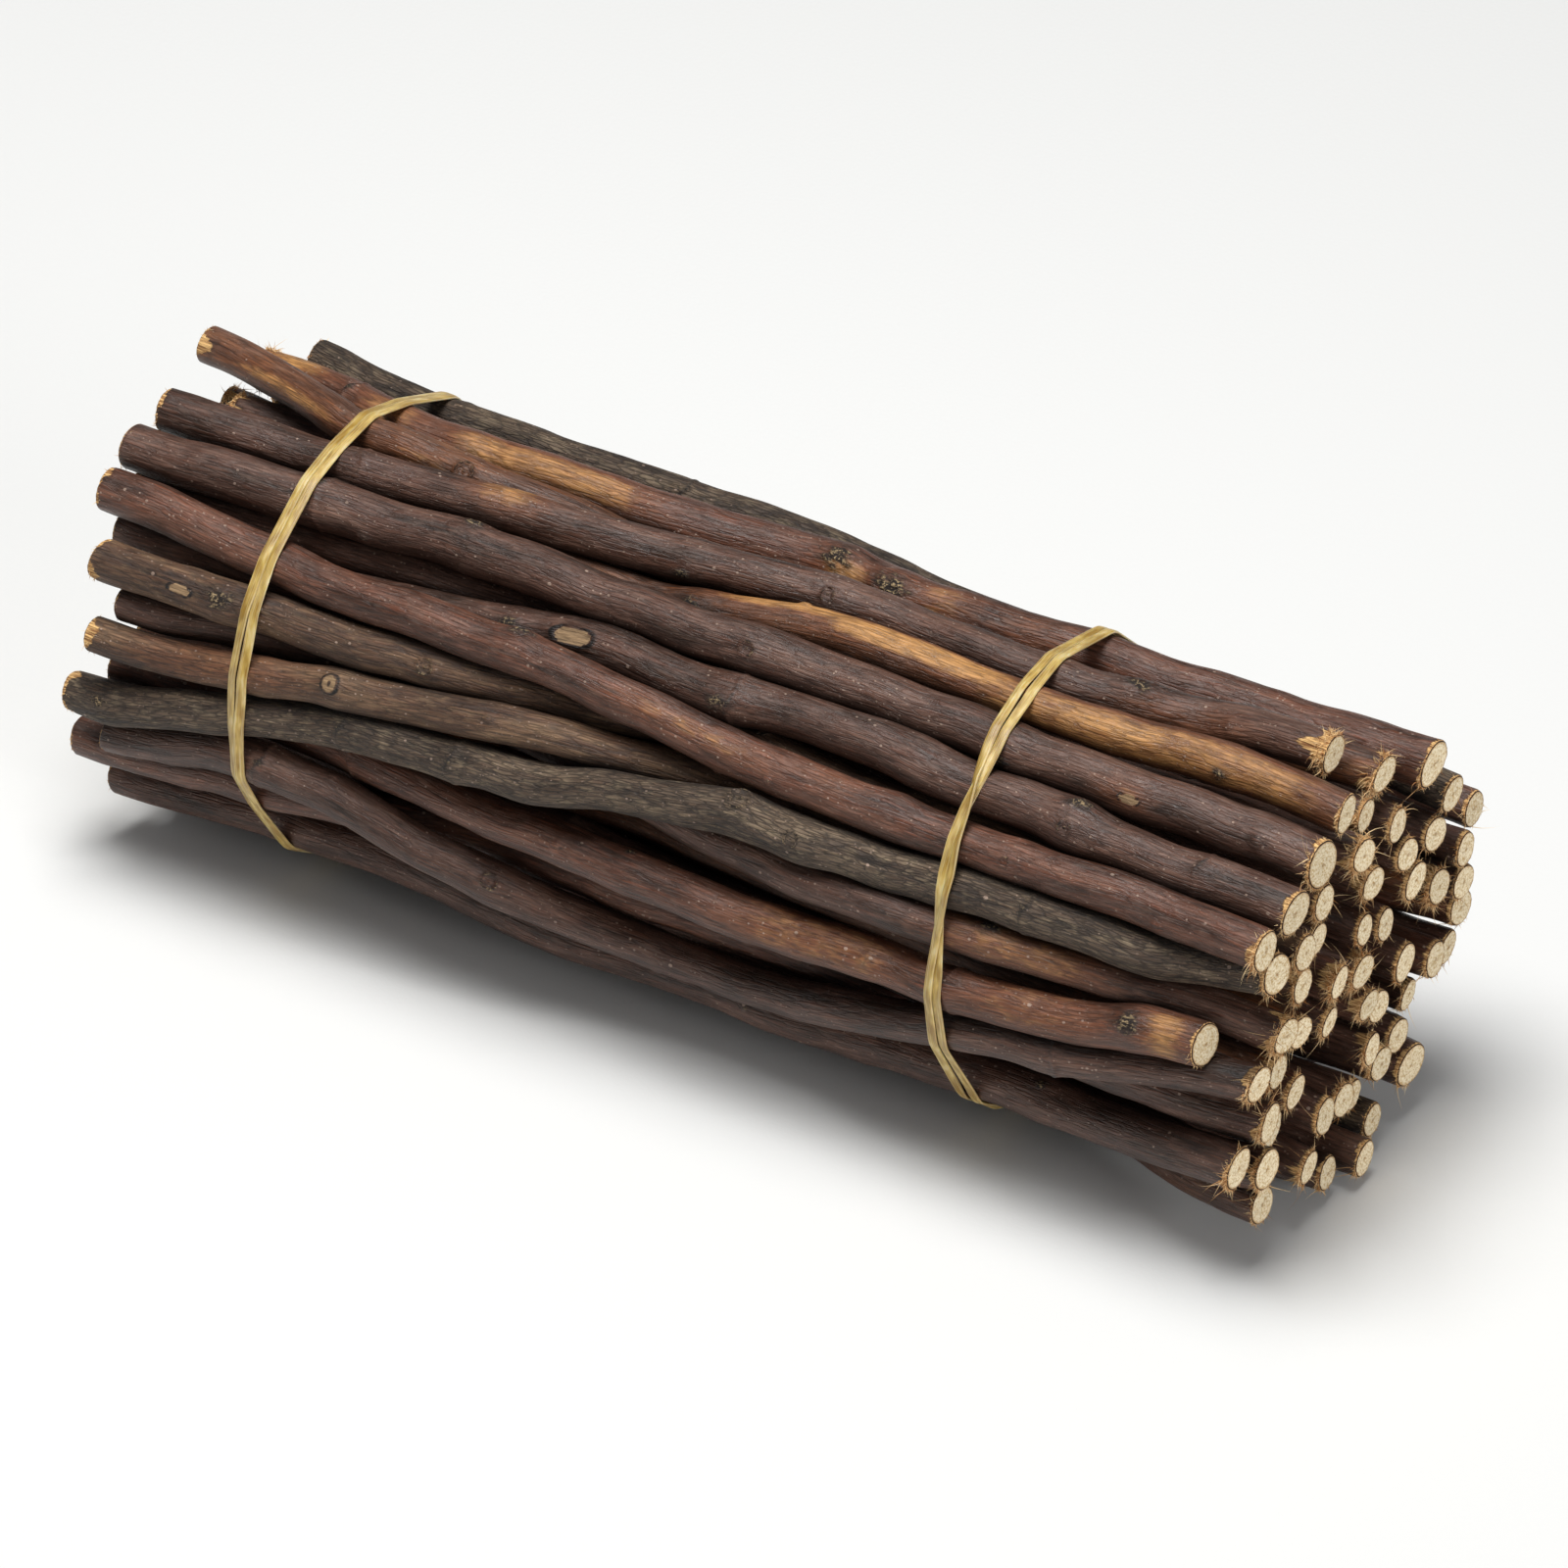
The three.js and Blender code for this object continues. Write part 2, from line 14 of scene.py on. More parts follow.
import bpy
import numpy as np
from bpy.types import ID, Material, Mesh, Node, NodeSocket, NodeTree, Object
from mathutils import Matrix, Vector


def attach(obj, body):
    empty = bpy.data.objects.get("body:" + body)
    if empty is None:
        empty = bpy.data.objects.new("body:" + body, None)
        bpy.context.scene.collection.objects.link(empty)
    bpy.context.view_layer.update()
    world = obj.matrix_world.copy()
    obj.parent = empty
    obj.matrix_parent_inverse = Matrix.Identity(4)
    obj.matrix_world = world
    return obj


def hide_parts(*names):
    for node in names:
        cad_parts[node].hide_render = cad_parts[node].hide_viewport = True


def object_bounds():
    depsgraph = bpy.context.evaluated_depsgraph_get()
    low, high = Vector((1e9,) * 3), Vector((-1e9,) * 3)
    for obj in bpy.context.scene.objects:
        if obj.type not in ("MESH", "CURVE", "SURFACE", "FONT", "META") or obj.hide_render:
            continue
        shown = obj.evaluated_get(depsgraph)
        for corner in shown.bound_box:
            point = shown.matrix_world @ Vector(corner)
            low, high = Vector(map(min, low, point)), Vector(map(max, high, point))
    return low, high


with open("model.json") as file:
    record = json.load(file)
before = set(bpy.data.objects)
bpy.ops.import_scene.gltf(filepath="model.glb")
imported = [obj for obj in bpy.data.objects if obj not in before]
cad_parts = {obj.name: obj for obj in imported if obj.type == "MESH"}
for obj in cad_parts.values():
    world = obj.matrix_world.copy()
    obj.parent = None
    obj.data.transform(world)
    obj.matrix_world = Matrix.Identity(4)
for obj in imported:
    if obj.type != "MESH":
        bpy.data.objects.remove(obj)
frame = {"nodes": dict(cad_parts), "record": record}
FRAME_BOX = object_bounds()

LOG = logging.getLogger("twig_bundle")
MM = 0.001
BODY = "root"
SEED = 58
UP = np.array([0.0, 0.0, 1.0])
TABLE_STEP_MM = 0.5          # how closely a twig's course is worked out
HAIR_MM = 0.11               # half the width of a loose fibre, drawn no finer than it can show
GAP_SHADE_REACH_MM = 3.4          # how wide a gap between twigs still gets painted shade on the bark
CUT_GAP_SHADE_REACH_MM = 0.8      # and on the cut faces
DARKEST_SHADED_BARK = 0.35            # how much of its brightness the bark keeps under the darkest painted gap shade
DARKEST_SHADED_CUT = 0.55             # and the cut face under the darkest painted gap shade
PAINTED_UNDERSIDE_SHADE = 0.25       # how much darker the underside of a twig is painted: painted shade
TORN_DEPTH_MM = 0.22         # how thick the bark is where it is torn off
CUT_SHARE = 0.999            # a point nearer the middle than this share of the radius is on a cut
CORNER_POWER = 0.62          # how square a strand's section is, 1 being an ellipse
BAND_PATTERN_MM = 3.6        # the radius at which the latex pattern runs round a band
MARKS = ("rubbed", "scar", "stain", "rough", "torn")


# ---- small helpers ----

def linear(code: str) -> tuple[float, float, float, float]:
    """Turns an sRGB hex colour into the linear colour that Blender's nodes take.

    Args:
        code: the colour as "#rrggbb".

    Returns:
        Linear red, green and blue, and an alpha of 1.
    """
    shares = [int(code[i:i + 2], 16) / 255 for i in (1, 3, 5)]
    red, green, blue = (s / 12.92 if s <= 0.04045 else ((s + 0.055) / 1.055) ** 2.4 for s in shares)
    return red, green, blue, 1.0


def add_node(
    tree: NodeTree, kind: str, inputs: dict[Any, Any] | None = None, **settings: Any
) -> Node:
    """Adds a shader node with its settings, input values and links.

    Args:
        tree: the material's node tree.
        kind: Blender's name for the node, after "ShaderNode".
        inputs: a value, or another node's output, for each named or numbered input.
        settings: the node's own properties.

    Returns:
        The new node.
    """
    node = tree.nodes.new(f"ShaderNode{kind}")
    for name, value in settings.items():
        setattr(node, name, value)
    for key, value in (inputs or {}).items():
        if isinstance(value, NodeSocket):
            tree.links.new(value, node.inputs[key])
        else:
            node.inputs[key].default_value = value
    return node


def new_material(name: str) -> tuple[Material, NodeTree]:
    """Makes an empty material; returns it with its node tree."""
    material = bpy.data.materials.new(name)
    material.use_nodes = True
    material.node_tree.nodes.clear()
    return material, material.node_tree


def ease(low: float, high: float, value: np.ndarray) -> np.ndarray:
    """Rises smoothly from 0 at low to 1 at high; falls when low is the larger."""
    share = np.clip((value - low) / (high - low), 0.0, 1.0)
    return share * share * (3.0 - 2.0 * share)


def bell(value: np.ndarray) -> np.ndarray:
    """A bell curve that is 1 at 0 and has died away by 2."""
    return np.exp(-value * value)


def unit(vectors: np.ndarray) -> np.ndarray:
    """Scales each vector to a length of 1."""
    return vectors / np.linalg.norm(vectors, axis=-1, keepdims=True)


def turn_between(angles: np.ndarray, clock: float) -> np.ndarray:
    """The signed turn, in radians, from a clock angle in degrees to each angle in radians."""
    return (angles - math.radians(clock) + math.pi) % (2 * math.pi) - math.pi


def smooth_curve(xs: np.ndarray, values: np.ndarray, at: np.ndarray) -> np.ndarray:
    """Reads the smooth curve through given points at new places.

    Args:
        xs: where the points are, rising.
        values: the points, one row for each.
        at: the new places.

    Returns:
        One row of values for each new place.
    """
    slopes = np.gradient(values, xs, axis=0)
    low = np.clip(np.searchsorted(xs, at, side="right") - 1, 0, len(xs) - 2)
    step = (xs[low + 1] - xs[low])[:, None]
    t = (at - xs[low])[:, None] / step
    return (
        (2 * t**3 - 3 * t**2 + 1) * values[low]
        + (t**3 - 2 * t**2 + t) * step * slopes[low]
        + (3 * t**2 - 2 * t**3) * values[low + 1]
        + (t**3 - t**2) * step * slopes[low + 1]
    )


def edit_mesh(select_mode: tuple[bool, bool, bool]) -> None:
    """Opens the active mesh in edit mode, selecting by vertices, edges or faces."""
    bpy.context.tool_settings.mesh_select_mode = select_mode
    bpy.ops.object.mode_set(mode="EDIT")


def point_coordinates(mesh: Mesh) -> np.ndarray:
    """The places of a mesh's vertices, one row for each."""
    places = np.empty(len(mesh.vertices) * 3, np.float32)
    mesh.vertices.foreach_get("co", places)
    return places.reshape(-1, 3).astype(float)


def add_object(name: str, data: ID) -> Object:
    """Puts a new object with the given data into the scene; returns it."""
    thing = bpy.data.objects.new(name, data)
    bpy.context.scene.collection.objects.link(thing)
    return thing


def spokes(heading: np.ndarray, angle: np.ndarray) -> tuple[np.ndarray, np.ndarray]:
    """Finds the ways out from a twig's middle line.

    Args:
        heading: the twig's direction at each point.
        angle: the clock angle of each point, in radians.

    Returns:
        The way outward and the way round the twig, for each point.
    """
    up = unit(UP - heading * (heading @ UP)[:, None])
    side = np.cross(heading, up)
    cos, sin = np.cos(angle)[:, None], np.sin(angle)[:, None]
    return cos * up + sin * side, -sin * up + cos * side


def outward_of(line: np.ndarray) -> np.ndarray:
    """The outward way at each point of a closed line that turns left."""
    ahead = unit(np.roll(line, -1, axis=0) - np.roll(line, 1, axis=0))
    return np.stack([ahead[:, 1], -ahead[:, 0]], axis=1)


def lay_coats(
    tree: NodeTree,
    colour: Any,
    coats: list[tuple[NodeSocket, float, float, float, str]],
) -> NodeSocket:
    """Lays colours over a first one, each where a pattern rises.

    Args:
        tree: the material's node tree.
        colour: the colour underneath, or the output that gives it.
        coats: a pattern, where it starts and ends rising, how much it covers, and its colour.

    Returns:
        The finished colour.
    """
    for value, low, high, share, coat in coats:
        mask = add_node(
            tree, "MapRange",
            {"Value": value, "From Min": low, "From Max": high, "To Max": share},
        )
        colour = add_node(
            tree, "Mix", {0: mask.outputs[0], 6: colour, 7: linear(coat)},
            data_type="RGBA",
        ).outputs[2]
    return colour


def store(mesh: Mesh, name: str, values: np.ndarray) -> None:
    """Stores one number or one vector for each vertex under a name."""
    is_vector = values.ndim == 2
    layer = mesh.attributes.new(name, "FLOAT_VECTOR" if is_vector else "FLOAT", "POINT")
    layer.data.foreach_set("vector" if is_vector else "value", values.astype(np.float32).ravel())


# ---- finishes ----

@dataclass(frozen=True)
class Grain:
    """A noise pattern stretched along the wood: its real lengths along and across."""

    along_mm: float
    across_mm: float
    detail: float = 3.0

    def texture(self, tree: NodeTree, place: NodeSocket) -> NodeSocket:
        """Adds the pattern, read at a place in millimetres; returns its output from 0 to 1."""
        shrink = (1 / self.along_mm, 1 / self.across_mm, 1 / self.across_mm)
        stretched = add_node(
            tree, "VectorMath", {0: place, 1: shrink}, operation="MULTIPLY"
        )
        return add_node(
            tree, "TexNoise",
            {"Vector": stretched.outputs[0], "Scale": 1.0, "Detail": self.detail, "Roughness": 0.6},
        ).outputs["Fac"]


@dataclass(frozen=True)
class BarkFinish:
    """Thin young willow bark, dried on the twig: a satin skin with streaks running along it."""

    name: str
    dark: str
    middle: str
    light: str
    streak: str
    streak_share: float = 0.45
    bloom: str = "#856c5f"           # a dry greyish bloom that lies on the crown of the bark
    bloom_share: float = 0.35
    rubbed_dark: str = "#7b4b2f"     # where the skin is worn thin, then rubbed through to the bast
    rubbed_light: str = "#bb8850"
    stain: str = "#15100e"
    scar: str = "#94795a"
    rough_dark: str = "#231a15"
    rough_light: str = "#a48d69"
    lenticel: str = "#a89080"
    torn_dark: str = "#9a6336"
    torn_light: str = "#e0b679"
    crackle_share: float = 0.3       # how much the skin is cracked into fine plates
    crackle: Grain = Grain(9.0, 1.0)
    roughness: float = 0.40
    wrinkle_mm: float = 0.13
    tone: Grain = Grain(30, 4.5, 3.0)
    streaks: Grain = Grain(18, 0.9, 4.0)
    fibres: Grain = Grain(6.0, 0.42, 4.0)   # drawn at the finest width that still shows
    mottle: Grain = Grain(4.5, 1.6, 5.0)
    speckle: Grain = Grain(0.8, 0.6, 2.0)

    def material(self) -> Material:
        """Builds the bark's material.

        Returns:
            The material, which reads the twig's own place and its marks from attributes.
        """
        material, tree = new_material(self.name)
        place = add_node(tree, "Attribute", attribute_name="rest").outputs["Vector"]
        marks = {
            mark: add_node(tree, "Attribute", attribute_name=mark).outputs["Fac"]
            for mark in MARKS
        }
        grains = {
            name: getattr(self, name).texture(tree, place)
            for name in ("tone", "streaks", "fibres", "mottle", "speckle")
        }
        masks = self._masks(tree, marks, grains)
        masks["lenticel"] = self._lenticels(tree, place, grains["tone"])
        masks["crackle"] = self._crackle(tree, place, grains["mottle"])
        colour = self._colour(tree, grains, masks)
        height = self._height(tree, grains, masks)
        relief = add_node(
            tree, "Bump", {"Strength": 1.0, "Distance": MM, "Height": height}
        )
        gloss = add_node(
            tree, "MapRange",
            {"Value": grains["mottle"], "From Min": 0.3, "From Max": 0.7,
             "To Min": self.roughness - 0.07, "To Max": self.roughness + 0.12},
        )
        for mark in ("torn", "scar", "rough"):
            gloss = add_node(
                tree, "Mix", {0: masks[mark], 2: gloss.outputs[0], 3: 0.82}, data_type="FLOAT"
            )
        skin = add_node(
            tree, "BsdfPrincipled",
            {"Base Color": colour, "Roughness": gloss.outputs[0], "Normal": relief.outputs[0],
             "IOR": 1.45, "Specular IOR Level": 0.5},
        )
        add_node(tree, "OutputMaterial", {"Surface": skin.outputs[0]})
        return material

    def _masks(
        self,
        tree: NodeTree,
        marks: dict[str, NodeSocket],
        grains: dict[str, NodeSocket],
    ) -> dict[str, NodeSocket]:
        """Frays the edge of each mark with a grain of the bark.

        Args:
            tree: the material's node tree.
            marks: the marks as the twig carries them, with soft edges.
            grains: the bark's patterns.

        Returns:
            A mask from 0 to 1 for each mark.
        """
        frayed_by = {
            "rubbed": ("mottle", 0.5, 0.12, 0.9), "scar": ("speckle", 0.4, 0.32, 0.7),
            "stain": ("mottle", 1.1, 0.3, 0.9), "rough": ("mottle", 1.5, 0.40, 0.85),
            "torn": ("fibres", 1.2, 0.3, 0.7),
        }
        masks = {}
        for mark, (grain, share, low, high) in frayed_by.items():
            shifted = add_node(
                tree, "Math", {0: grains[grain], 1: share, 2: -0.5 * share},
                operation="MULTIPLY_ADD",
            )
            total = add_node(
                tree, "Math", {0: marks[mark], 1: shifted.outputs[0]}, operation="ADD"
            )
            masks[mark] = add_node(
                tree, "MapRange", {"Value": total.outputs[0], "From Min": low, "From Max": high},
                interpolation_type="SMOOTHSTEP",
            ).outputs[0]
        return masks

    def _lenticels(
        self, tree: NodeTree, place: NodeSocket, tone: NodeSocket
    ) -> NodeSocket:
        """Scatters the bark's pale breathing pores.

        Args:
            tree: the material's node tree.
            place: the place on the twig, in millimetres.
            tone: the slow pattern of the skin, which gathers the small pores in patches.

        Returns:
            Their mask, dots from a fifth of a millimetre to a whole one.
        """
        gather = add_node(
            tree, "MapRange", {"Value": tone, "From Min": 0.44, "From Max": 0.60, "To Max": 0.75}
        ).outputs[0]
        total: NodeSocket | float = 0.0
        for cell_mm, radius_mm, share in (
            (4.6, 0.50, 0.75), (2.2, 0.36, 0.65), (0.95, 0.30, gather),
        ):
            scaled = add_node(
                tree, "VectorMath", {0: place, 1: (0.8 / cell_mm, 1 / cell_mm, 1 / cell_mm)},
                operation="MULTIPLY",
            )
            pores = add_node(
                tree, "TexVoronoi",
                {"Vector": scaled.outputs[0], "Scale": 1.0, "Randomness": 1.0},
            )
            size = add_node(
                tree, "MapRange",
                {"Value": pores.outputs["Color"], "From Min": 0.35, "From Max": 0.85,
                 "To Min": 0.0, "To Max": radius_mm / cell_mm},
            )
            inside = add_node(
                tree, "Math", {0: size.outputs[0], 1: pores.outputs["Distance"]},
                operation="SUBTRACT",
            )
            dots = add_node(
                tree, "MapRange",
                {"Value": inside.outputs[0], "From Max": 0.10 / cell_mm, "To Max": share},
            )
            total = add_node(
                tree, "Math", {0: dots.outputs[0], 1: total}, operation="MAXIMUM"
            ).outputs[0]
        return total

    def _crackle(
        self, tree: NodeTree, place: NodeSocket, mottle: NodeSocket
    ) -> NodeSocket:
        """Draws the cracks of an older skin.

        Args:
            tree: the material's node tree.
            place: the place on the twig, in millimetres.
            mottle: the pattern that bends the cracks.

        Returns:
            Their mask, the edges of long plates that split along the twig.
        """
        across = 1 / self.crackle.across_mm
        stretched = add_node(
            tree, "VectorMath", {0: place, 1: (1 / self.crackle.along_mm, across, across)},
            operation="MULTIPLY",
        )
        bent = add_node(
            tree, "VectorMath", {0: mottle, 1: (1.1, 1.1, 1.1), 2: stretched.outputs[0]},
            operation="MULTIPLY_ADD",
        )
        plates = add_node(
            tree, "TexVoronoi", {"Vector": bent.outputs[0], "Scale": 1.0},
            feature="DISTANCE_TO_EDGE",
        )
        return add_node(
            tree, "MapRange",
            {"Value": plates.outputs["Distance"], "From Min": 0.15, "From Max": 0.03,
             "To Max": self.crackle_share},
        ).outputs[0]

    def _colour(
        self,
        tree: NodeTree,
        grains: dict[str, NodeSocket],
        masks: dict[str, NodeSocket],
    ) -> NodeSocket:
        """Lays the bark's colours over each other.

        Args:
            tree: the material's node tree.
            grains: the bark's patterns.
            masks: where each mark shows.

        Returns:
            The finished colour.
        """
        pairs = {
            "skin_low": (self.dark, self.middle, grains["tone"], 0.36, 0.52),
            "skin_high": (self.middle, self.light, grains["tone"], 0.50, 0.68),
            "rubbed": (self.rubbed_dark, self.rubbed_light, masks["rubbed"], 0.55, 1.0),
            "rough": (self.rough_dark, self.rough_light, grains["speckle"], 0.50, 0.62),
            "torn": (self.torn_dark, self.torn_light, grains["fibres"], 0.36, 0.60),
        }
        mixed = {}
        for name, (one, other, value, low, high) in pairs.items():
            share = add_node(
                tree, "MapRange", {"Value": value, "From Min": low, "From Max": high}
            )
            mixed[name] = add_node(
                tree, "Mix", {0: share.outputs[0], 6: linear(one), 7: linear(other)},
                data_type="RGBA",
            ).outputs[2]
        windows = {
            "skin_high": ("tone", 0.49, 0.51, 1.0),
            "streak": ("streaks", 0.50, 0.66, self.streak_share),
            "bloom": ("mottle", 0.50, 0.72, self.bloom_share),
        }
        for name, (grain, low, high, share) in windows.items():
            masks[name] = add_node(
                tree, "MapRange",
                {"Value": grains[grain], "From Min": low, "From Max": high, "To Max": share},
            ).outputs[0]
        coats = [
            ("skin_high", mixed["skin_high"]), ("streak", linear(self.streak)),
            ("bloom", linear(self.bloom)), ("rubbed", mixed["rubbed"]),
            ("crackle", linear(self.stain)),
            ("lenticel", linear(self.lenticel)), ("stain", linear(self.stain)),
            ("scar", linear(self.scar)), ("rough", mixed["rough"]), ("torn", mixed["torn"]),
        ]
        colour = mixed["skin_low"]
        for name, coat in coats:
            colour = add_node(
                tree, "Mix", {0: masks[name], 6: colour, 7: coat}, data_type="RGBA"
            ).outputs[2]
        shade = add_node(
            tree, "MapRange",
            {"Value": grains["fibres"], "From Min": 0.32, "From Max": 0.68,
             "To Min": 0.55, "To Max": 1.4},
        )
        # the tint attribute is the twig's own tone times painted shade on its underside and in the
        # gaps beside other twigs
        tint = add_node(tree, "Attribute", attribute_name="tint")
        toned = add_node(
            tree, "Math", {0: shade.outputs[0], 1: tint.outputs["Fac"]}, operation="MULTIPLY"
        )
        return add_node(
            tree, "VectorMath", {0: colour, "Scale": toned.outputs[0]}, operation="SCALE"
        ).outputs[0]

    def _height(
        self,
        tree: NodeTree,
        grains: dict[str, NodeSocket],
        masks: dict[str, NodeSocket],
    ) -> NodeSocket:
        """Adds up the fine relief of the skin.

        Args:
            tree: the material's node tree.
            grains: the bark's patterns.
            masks: where each mark shows.

        Returns:
            The height in millimetres.
        """
        parts = [
            (grains["streaks"], 2.0 * self.wrinkle_mm), (grains["fibres"], 1.3 * self.wrinkle_mm),
            (grains["mottle"], 0.9 * self.wrinkle_mm), (masks["lenticel"], 0.12),
            (masks["crackle"], -0.25),
        ]
        total: NodeSocket | float = 0.0
        for part, height_mm in parts:
            total = add_node(
                tree, "Math", {0: part, 1: height_mm, 2: total}, operation="MULTIPLY_ADD"
            ).outputs[0]
        for mark, grain, height_mm in (("rough", "speckle", 0.5), ("torn", "fibres", 0.35)):
            local = add_node(
                tree, "Math", {0: grains[grain], 1: masks[mark]}, operation="MULTIPLY"
            )
            total = add_node(
                tree, "Math", {0: local.outputs[0], 1: height_mm, 2: total},
                operation="MULTIPLY_ADD",
            ).outputs[0]
        return total


@dataclass(frozen=True)
class SawnWoodFinish:
    """Pale willow sawn across the grain: cream, woolly with torn fibre ends, matt."""

    name: str = "sawn_willow_end_grain"
    cream: str = "#f1e2c3"
    tan: str = "#c8aa7a"
    ring: str = "#d3b98c"
    rim: str = "#b58a52"
    bark_line: str = "#33221a"
    pith: str = "#a07c4c"
    ring_mm: float = 1.15

    def material(self) -> Material:
        """Builds the material of the cut faces.

        Returns:
            The material, which reads the place on the cut and the nearness of the rim.
        """
        material, tree = new_material(self.name)
        place = add_node(tree, "Attribute", attribute_name="cut").outputs["Vector"]
        edge = add_node(tree, "Attribute", attribute_name="edge").outputs["Fac"]
        wool = Grain(0.55, 0.55, 3.0).texture(tree, place)
        drift = Grain(2.6, 2.6, 2.0).texture(tree, place)
        wool_share = add_node(
            tree, "MapRange", {"Value": wool, "From Min": 0.38, "From Max": 0.54}
        ).outputs[0]
        flat = add_node(
            tree, "VectorMath", {0: place, 1: (1.0, 1.0, 0.0)}, operation="MULTIPLY"
        )
        out = add_node(
            tree, "VectorMath", {0: flat.outputs[0]}, operation="LENGTH"
        ).outputs["Value"]
        bent = add_node(
            tree, "Math", {0: drift, 1: 1.6, 2: out}, operation="MULTIPLY_ADD"
        )
        wave = add_node(
            tree, "Math", {0: bent.outputs[0], 1: 2 * math.pi / self.ring_mm},
            operation="MULTIPLY",
        )
        year = add_node(tree, "Math", {0: wave.outputs[0]}, operation="SINE")
        layers = [
            (year.outputs[0], 0.3, 1.0, 0.4, self.ring), (out, 0.6, 0.3, 0.7, self.pith),
            (edge, 0.84, 0.93, 0.7, self.rim), (edge, 0.935, 0.96, 1.0, self.bark_line),
        ]
        colour = add_node(
            tree, "Mix", {0: wool_share, 6: linear(self.tan), 7: linear(self.cream)},
            data_type="RGBA",
        ).outputs[2]
        colour = lay_coats(tree, colour, layers)
        relief = add_node(
            tree, "Bump", {"Strength": 1.0, "Distance": 0.3 * MM, "Height": wool}
        )
        # the tint attribute is the face's own tone times painted shade where it meets other twigs
        tint = add_node(tree, "Attribute", attribute_name="tint").outputs["Fac"]
        toned = add_node(
            tree, "VectorMath", {0: colour, "Scale": tint}, operation="SCALE"
        )
        wood = add_node(
            tree, "BsdfPrincipled",
            {"Base Color": toned.outputs[0], "Roughness": 0.85, "Normal": relief.outputs[0],
             "Specular IOR Level": 0.25},
        )
        add_node(tree, "OutputMaterial", {"Surface": wood.outputs[0]})
        return material


@dataclass(frozen=True)
class BastFibreFinish:
    """Loose bast fibres that the saw pulled out: dull threads from brown to straw yellow."""

    name: str = "frayed_bast_fibre"
    brown: str = "#a96f38"
    straw: str = "#f4d6a2"

    def material(self) -> Material:
        """Builds the fibres' material, its colour chosen fibre by fibre."""
        material, tree = new_material(self.name)
        hue = add_node(tree, "Attribute", attribute_name="hue").outputs["Fac"]
        colour = add_node(
            tree, "Mix", {0: hue, 6: linear(self.brown), 7: linear(self.straw)},
            data_type="RGBA",
        )
        fibre = add_node(
            tree, "BsdfPrincipled",
            {"Base Color": colour.outputs[2], "Roughness": 0.7, "Specular IOR Level": 0.3},
        )
        add_node(tree, "OutputMaterial", {"Surface": fibre.outputs[0]})
        return material


@dataclass(frozen=True)
class LatexFinish:
    """Natural latex, dipped and cut: amber yellow, waxy, glowing a little where it is thin."""

    name: str = "natural_latex_rubber"
    amber: str = "#99762c"
    straw: str = "#c7a95c"
    # pale powder over the fine lines; over the drift and along the strands' edges it is a painted
    # highlight
    powder_and_highlight: str = "#e4d7ac"
    roughness: float = 0.34

    def material(self) -> Material:
        """Builds the bands' material.

        Returns:
            The material, which reads the place round the band from its attribute.
        """
        material, tree = new_material(self.name)
        place = add_node(tree, "Attribute", attribute_name="rest").outputs["Vector"]
        drift = Grain(2.0, 0.5, 2.0).texture(tree, place)
        lines = Grain(0.20, 1.4, 2.0).texture(tree, place)
        edge = add_node(tree, "Attribute", attribute_name="edge").outputs["Fac"]
        # the straw and pale drift along the loop is partly tone, partly painted light and shade on
        # twisted facets; the pale edge coat is a painted highlight
        layers = [
            (drift, 0.40, 0.60, 1.0, self.straw), (lines, 0.50, 0.66, 0.45, self.powder_and_highlight),
            (drift, 0.58, 0.70, 0.5, self.powder_and_highlight), (edge, 0.75, 1.0, 0.35, self.powder_and_highlight),
        ]
        colour = lay_coats(tree, linear(self.amber), layers)
        relief = add_node(
            tree, "Bump", {"Strength": 1.0, "Distance": 0.08 * MM, "Height": lines}
        )
        rubber = add_node(
            tree, "BsdfPrincipled",
            {"Base Color": colour, "Roughness": self.roughness, "Normal": relief.outputs[0],
             "IOR": 1.52, "Subsurface Weight": 0.35, "Subsurface Radius": (1.0, 0.6, 0.2),
             "Subsurface Scale": 0.6 * MM},
        )
        add_node(tree, "OutputMaterial", {"Surface": rubber.outputs[0]})
        return material


@dataclass(frozen=True)
class PaperFinish:
    """Pale matt backdrop paper under the bundle."""

    name: str = "pale_backdrop_paper"
    white: str = "#e8e8e6"

    def material(self) -> Material:
        """Builds the paper's material, with a very faint tooth."""
        material, tree = new_material(self.name)
        place = add_node(tree, "TexCoord").outputs["Object"]
        tooth = add_node(tree, "TexNoise", {"Vector": place, "Scale": 900.0}).outputs["Fac"]
        relief = add_node(tree, "Bump", {"Strength": 0.05, "Distance": MM, "Height": tooth})
        paper = add_node(
            tree, "BsdfPrincipled",
            {"Base Color": linear(self.white), "Roughness": 0.9, "Normal": relief.outputs[0]},
        )
        add_node(tree, "OutputMaterial", {"Surface": paper.outputs[0]})
        return material


class Bark(Enum):
    """The kinds of bark in the bundle; all but the last are the record's slots."""

    PURPLE_BROWN = "bark_purple_brown"
    RED_BROWN = "bark_red_brown"
    ORANGE_TAN = "bark_orange_tan"
    GREY_GREEN = "bark_grey_green"
    OLIVE_BROWN = "bark_olive_brown"


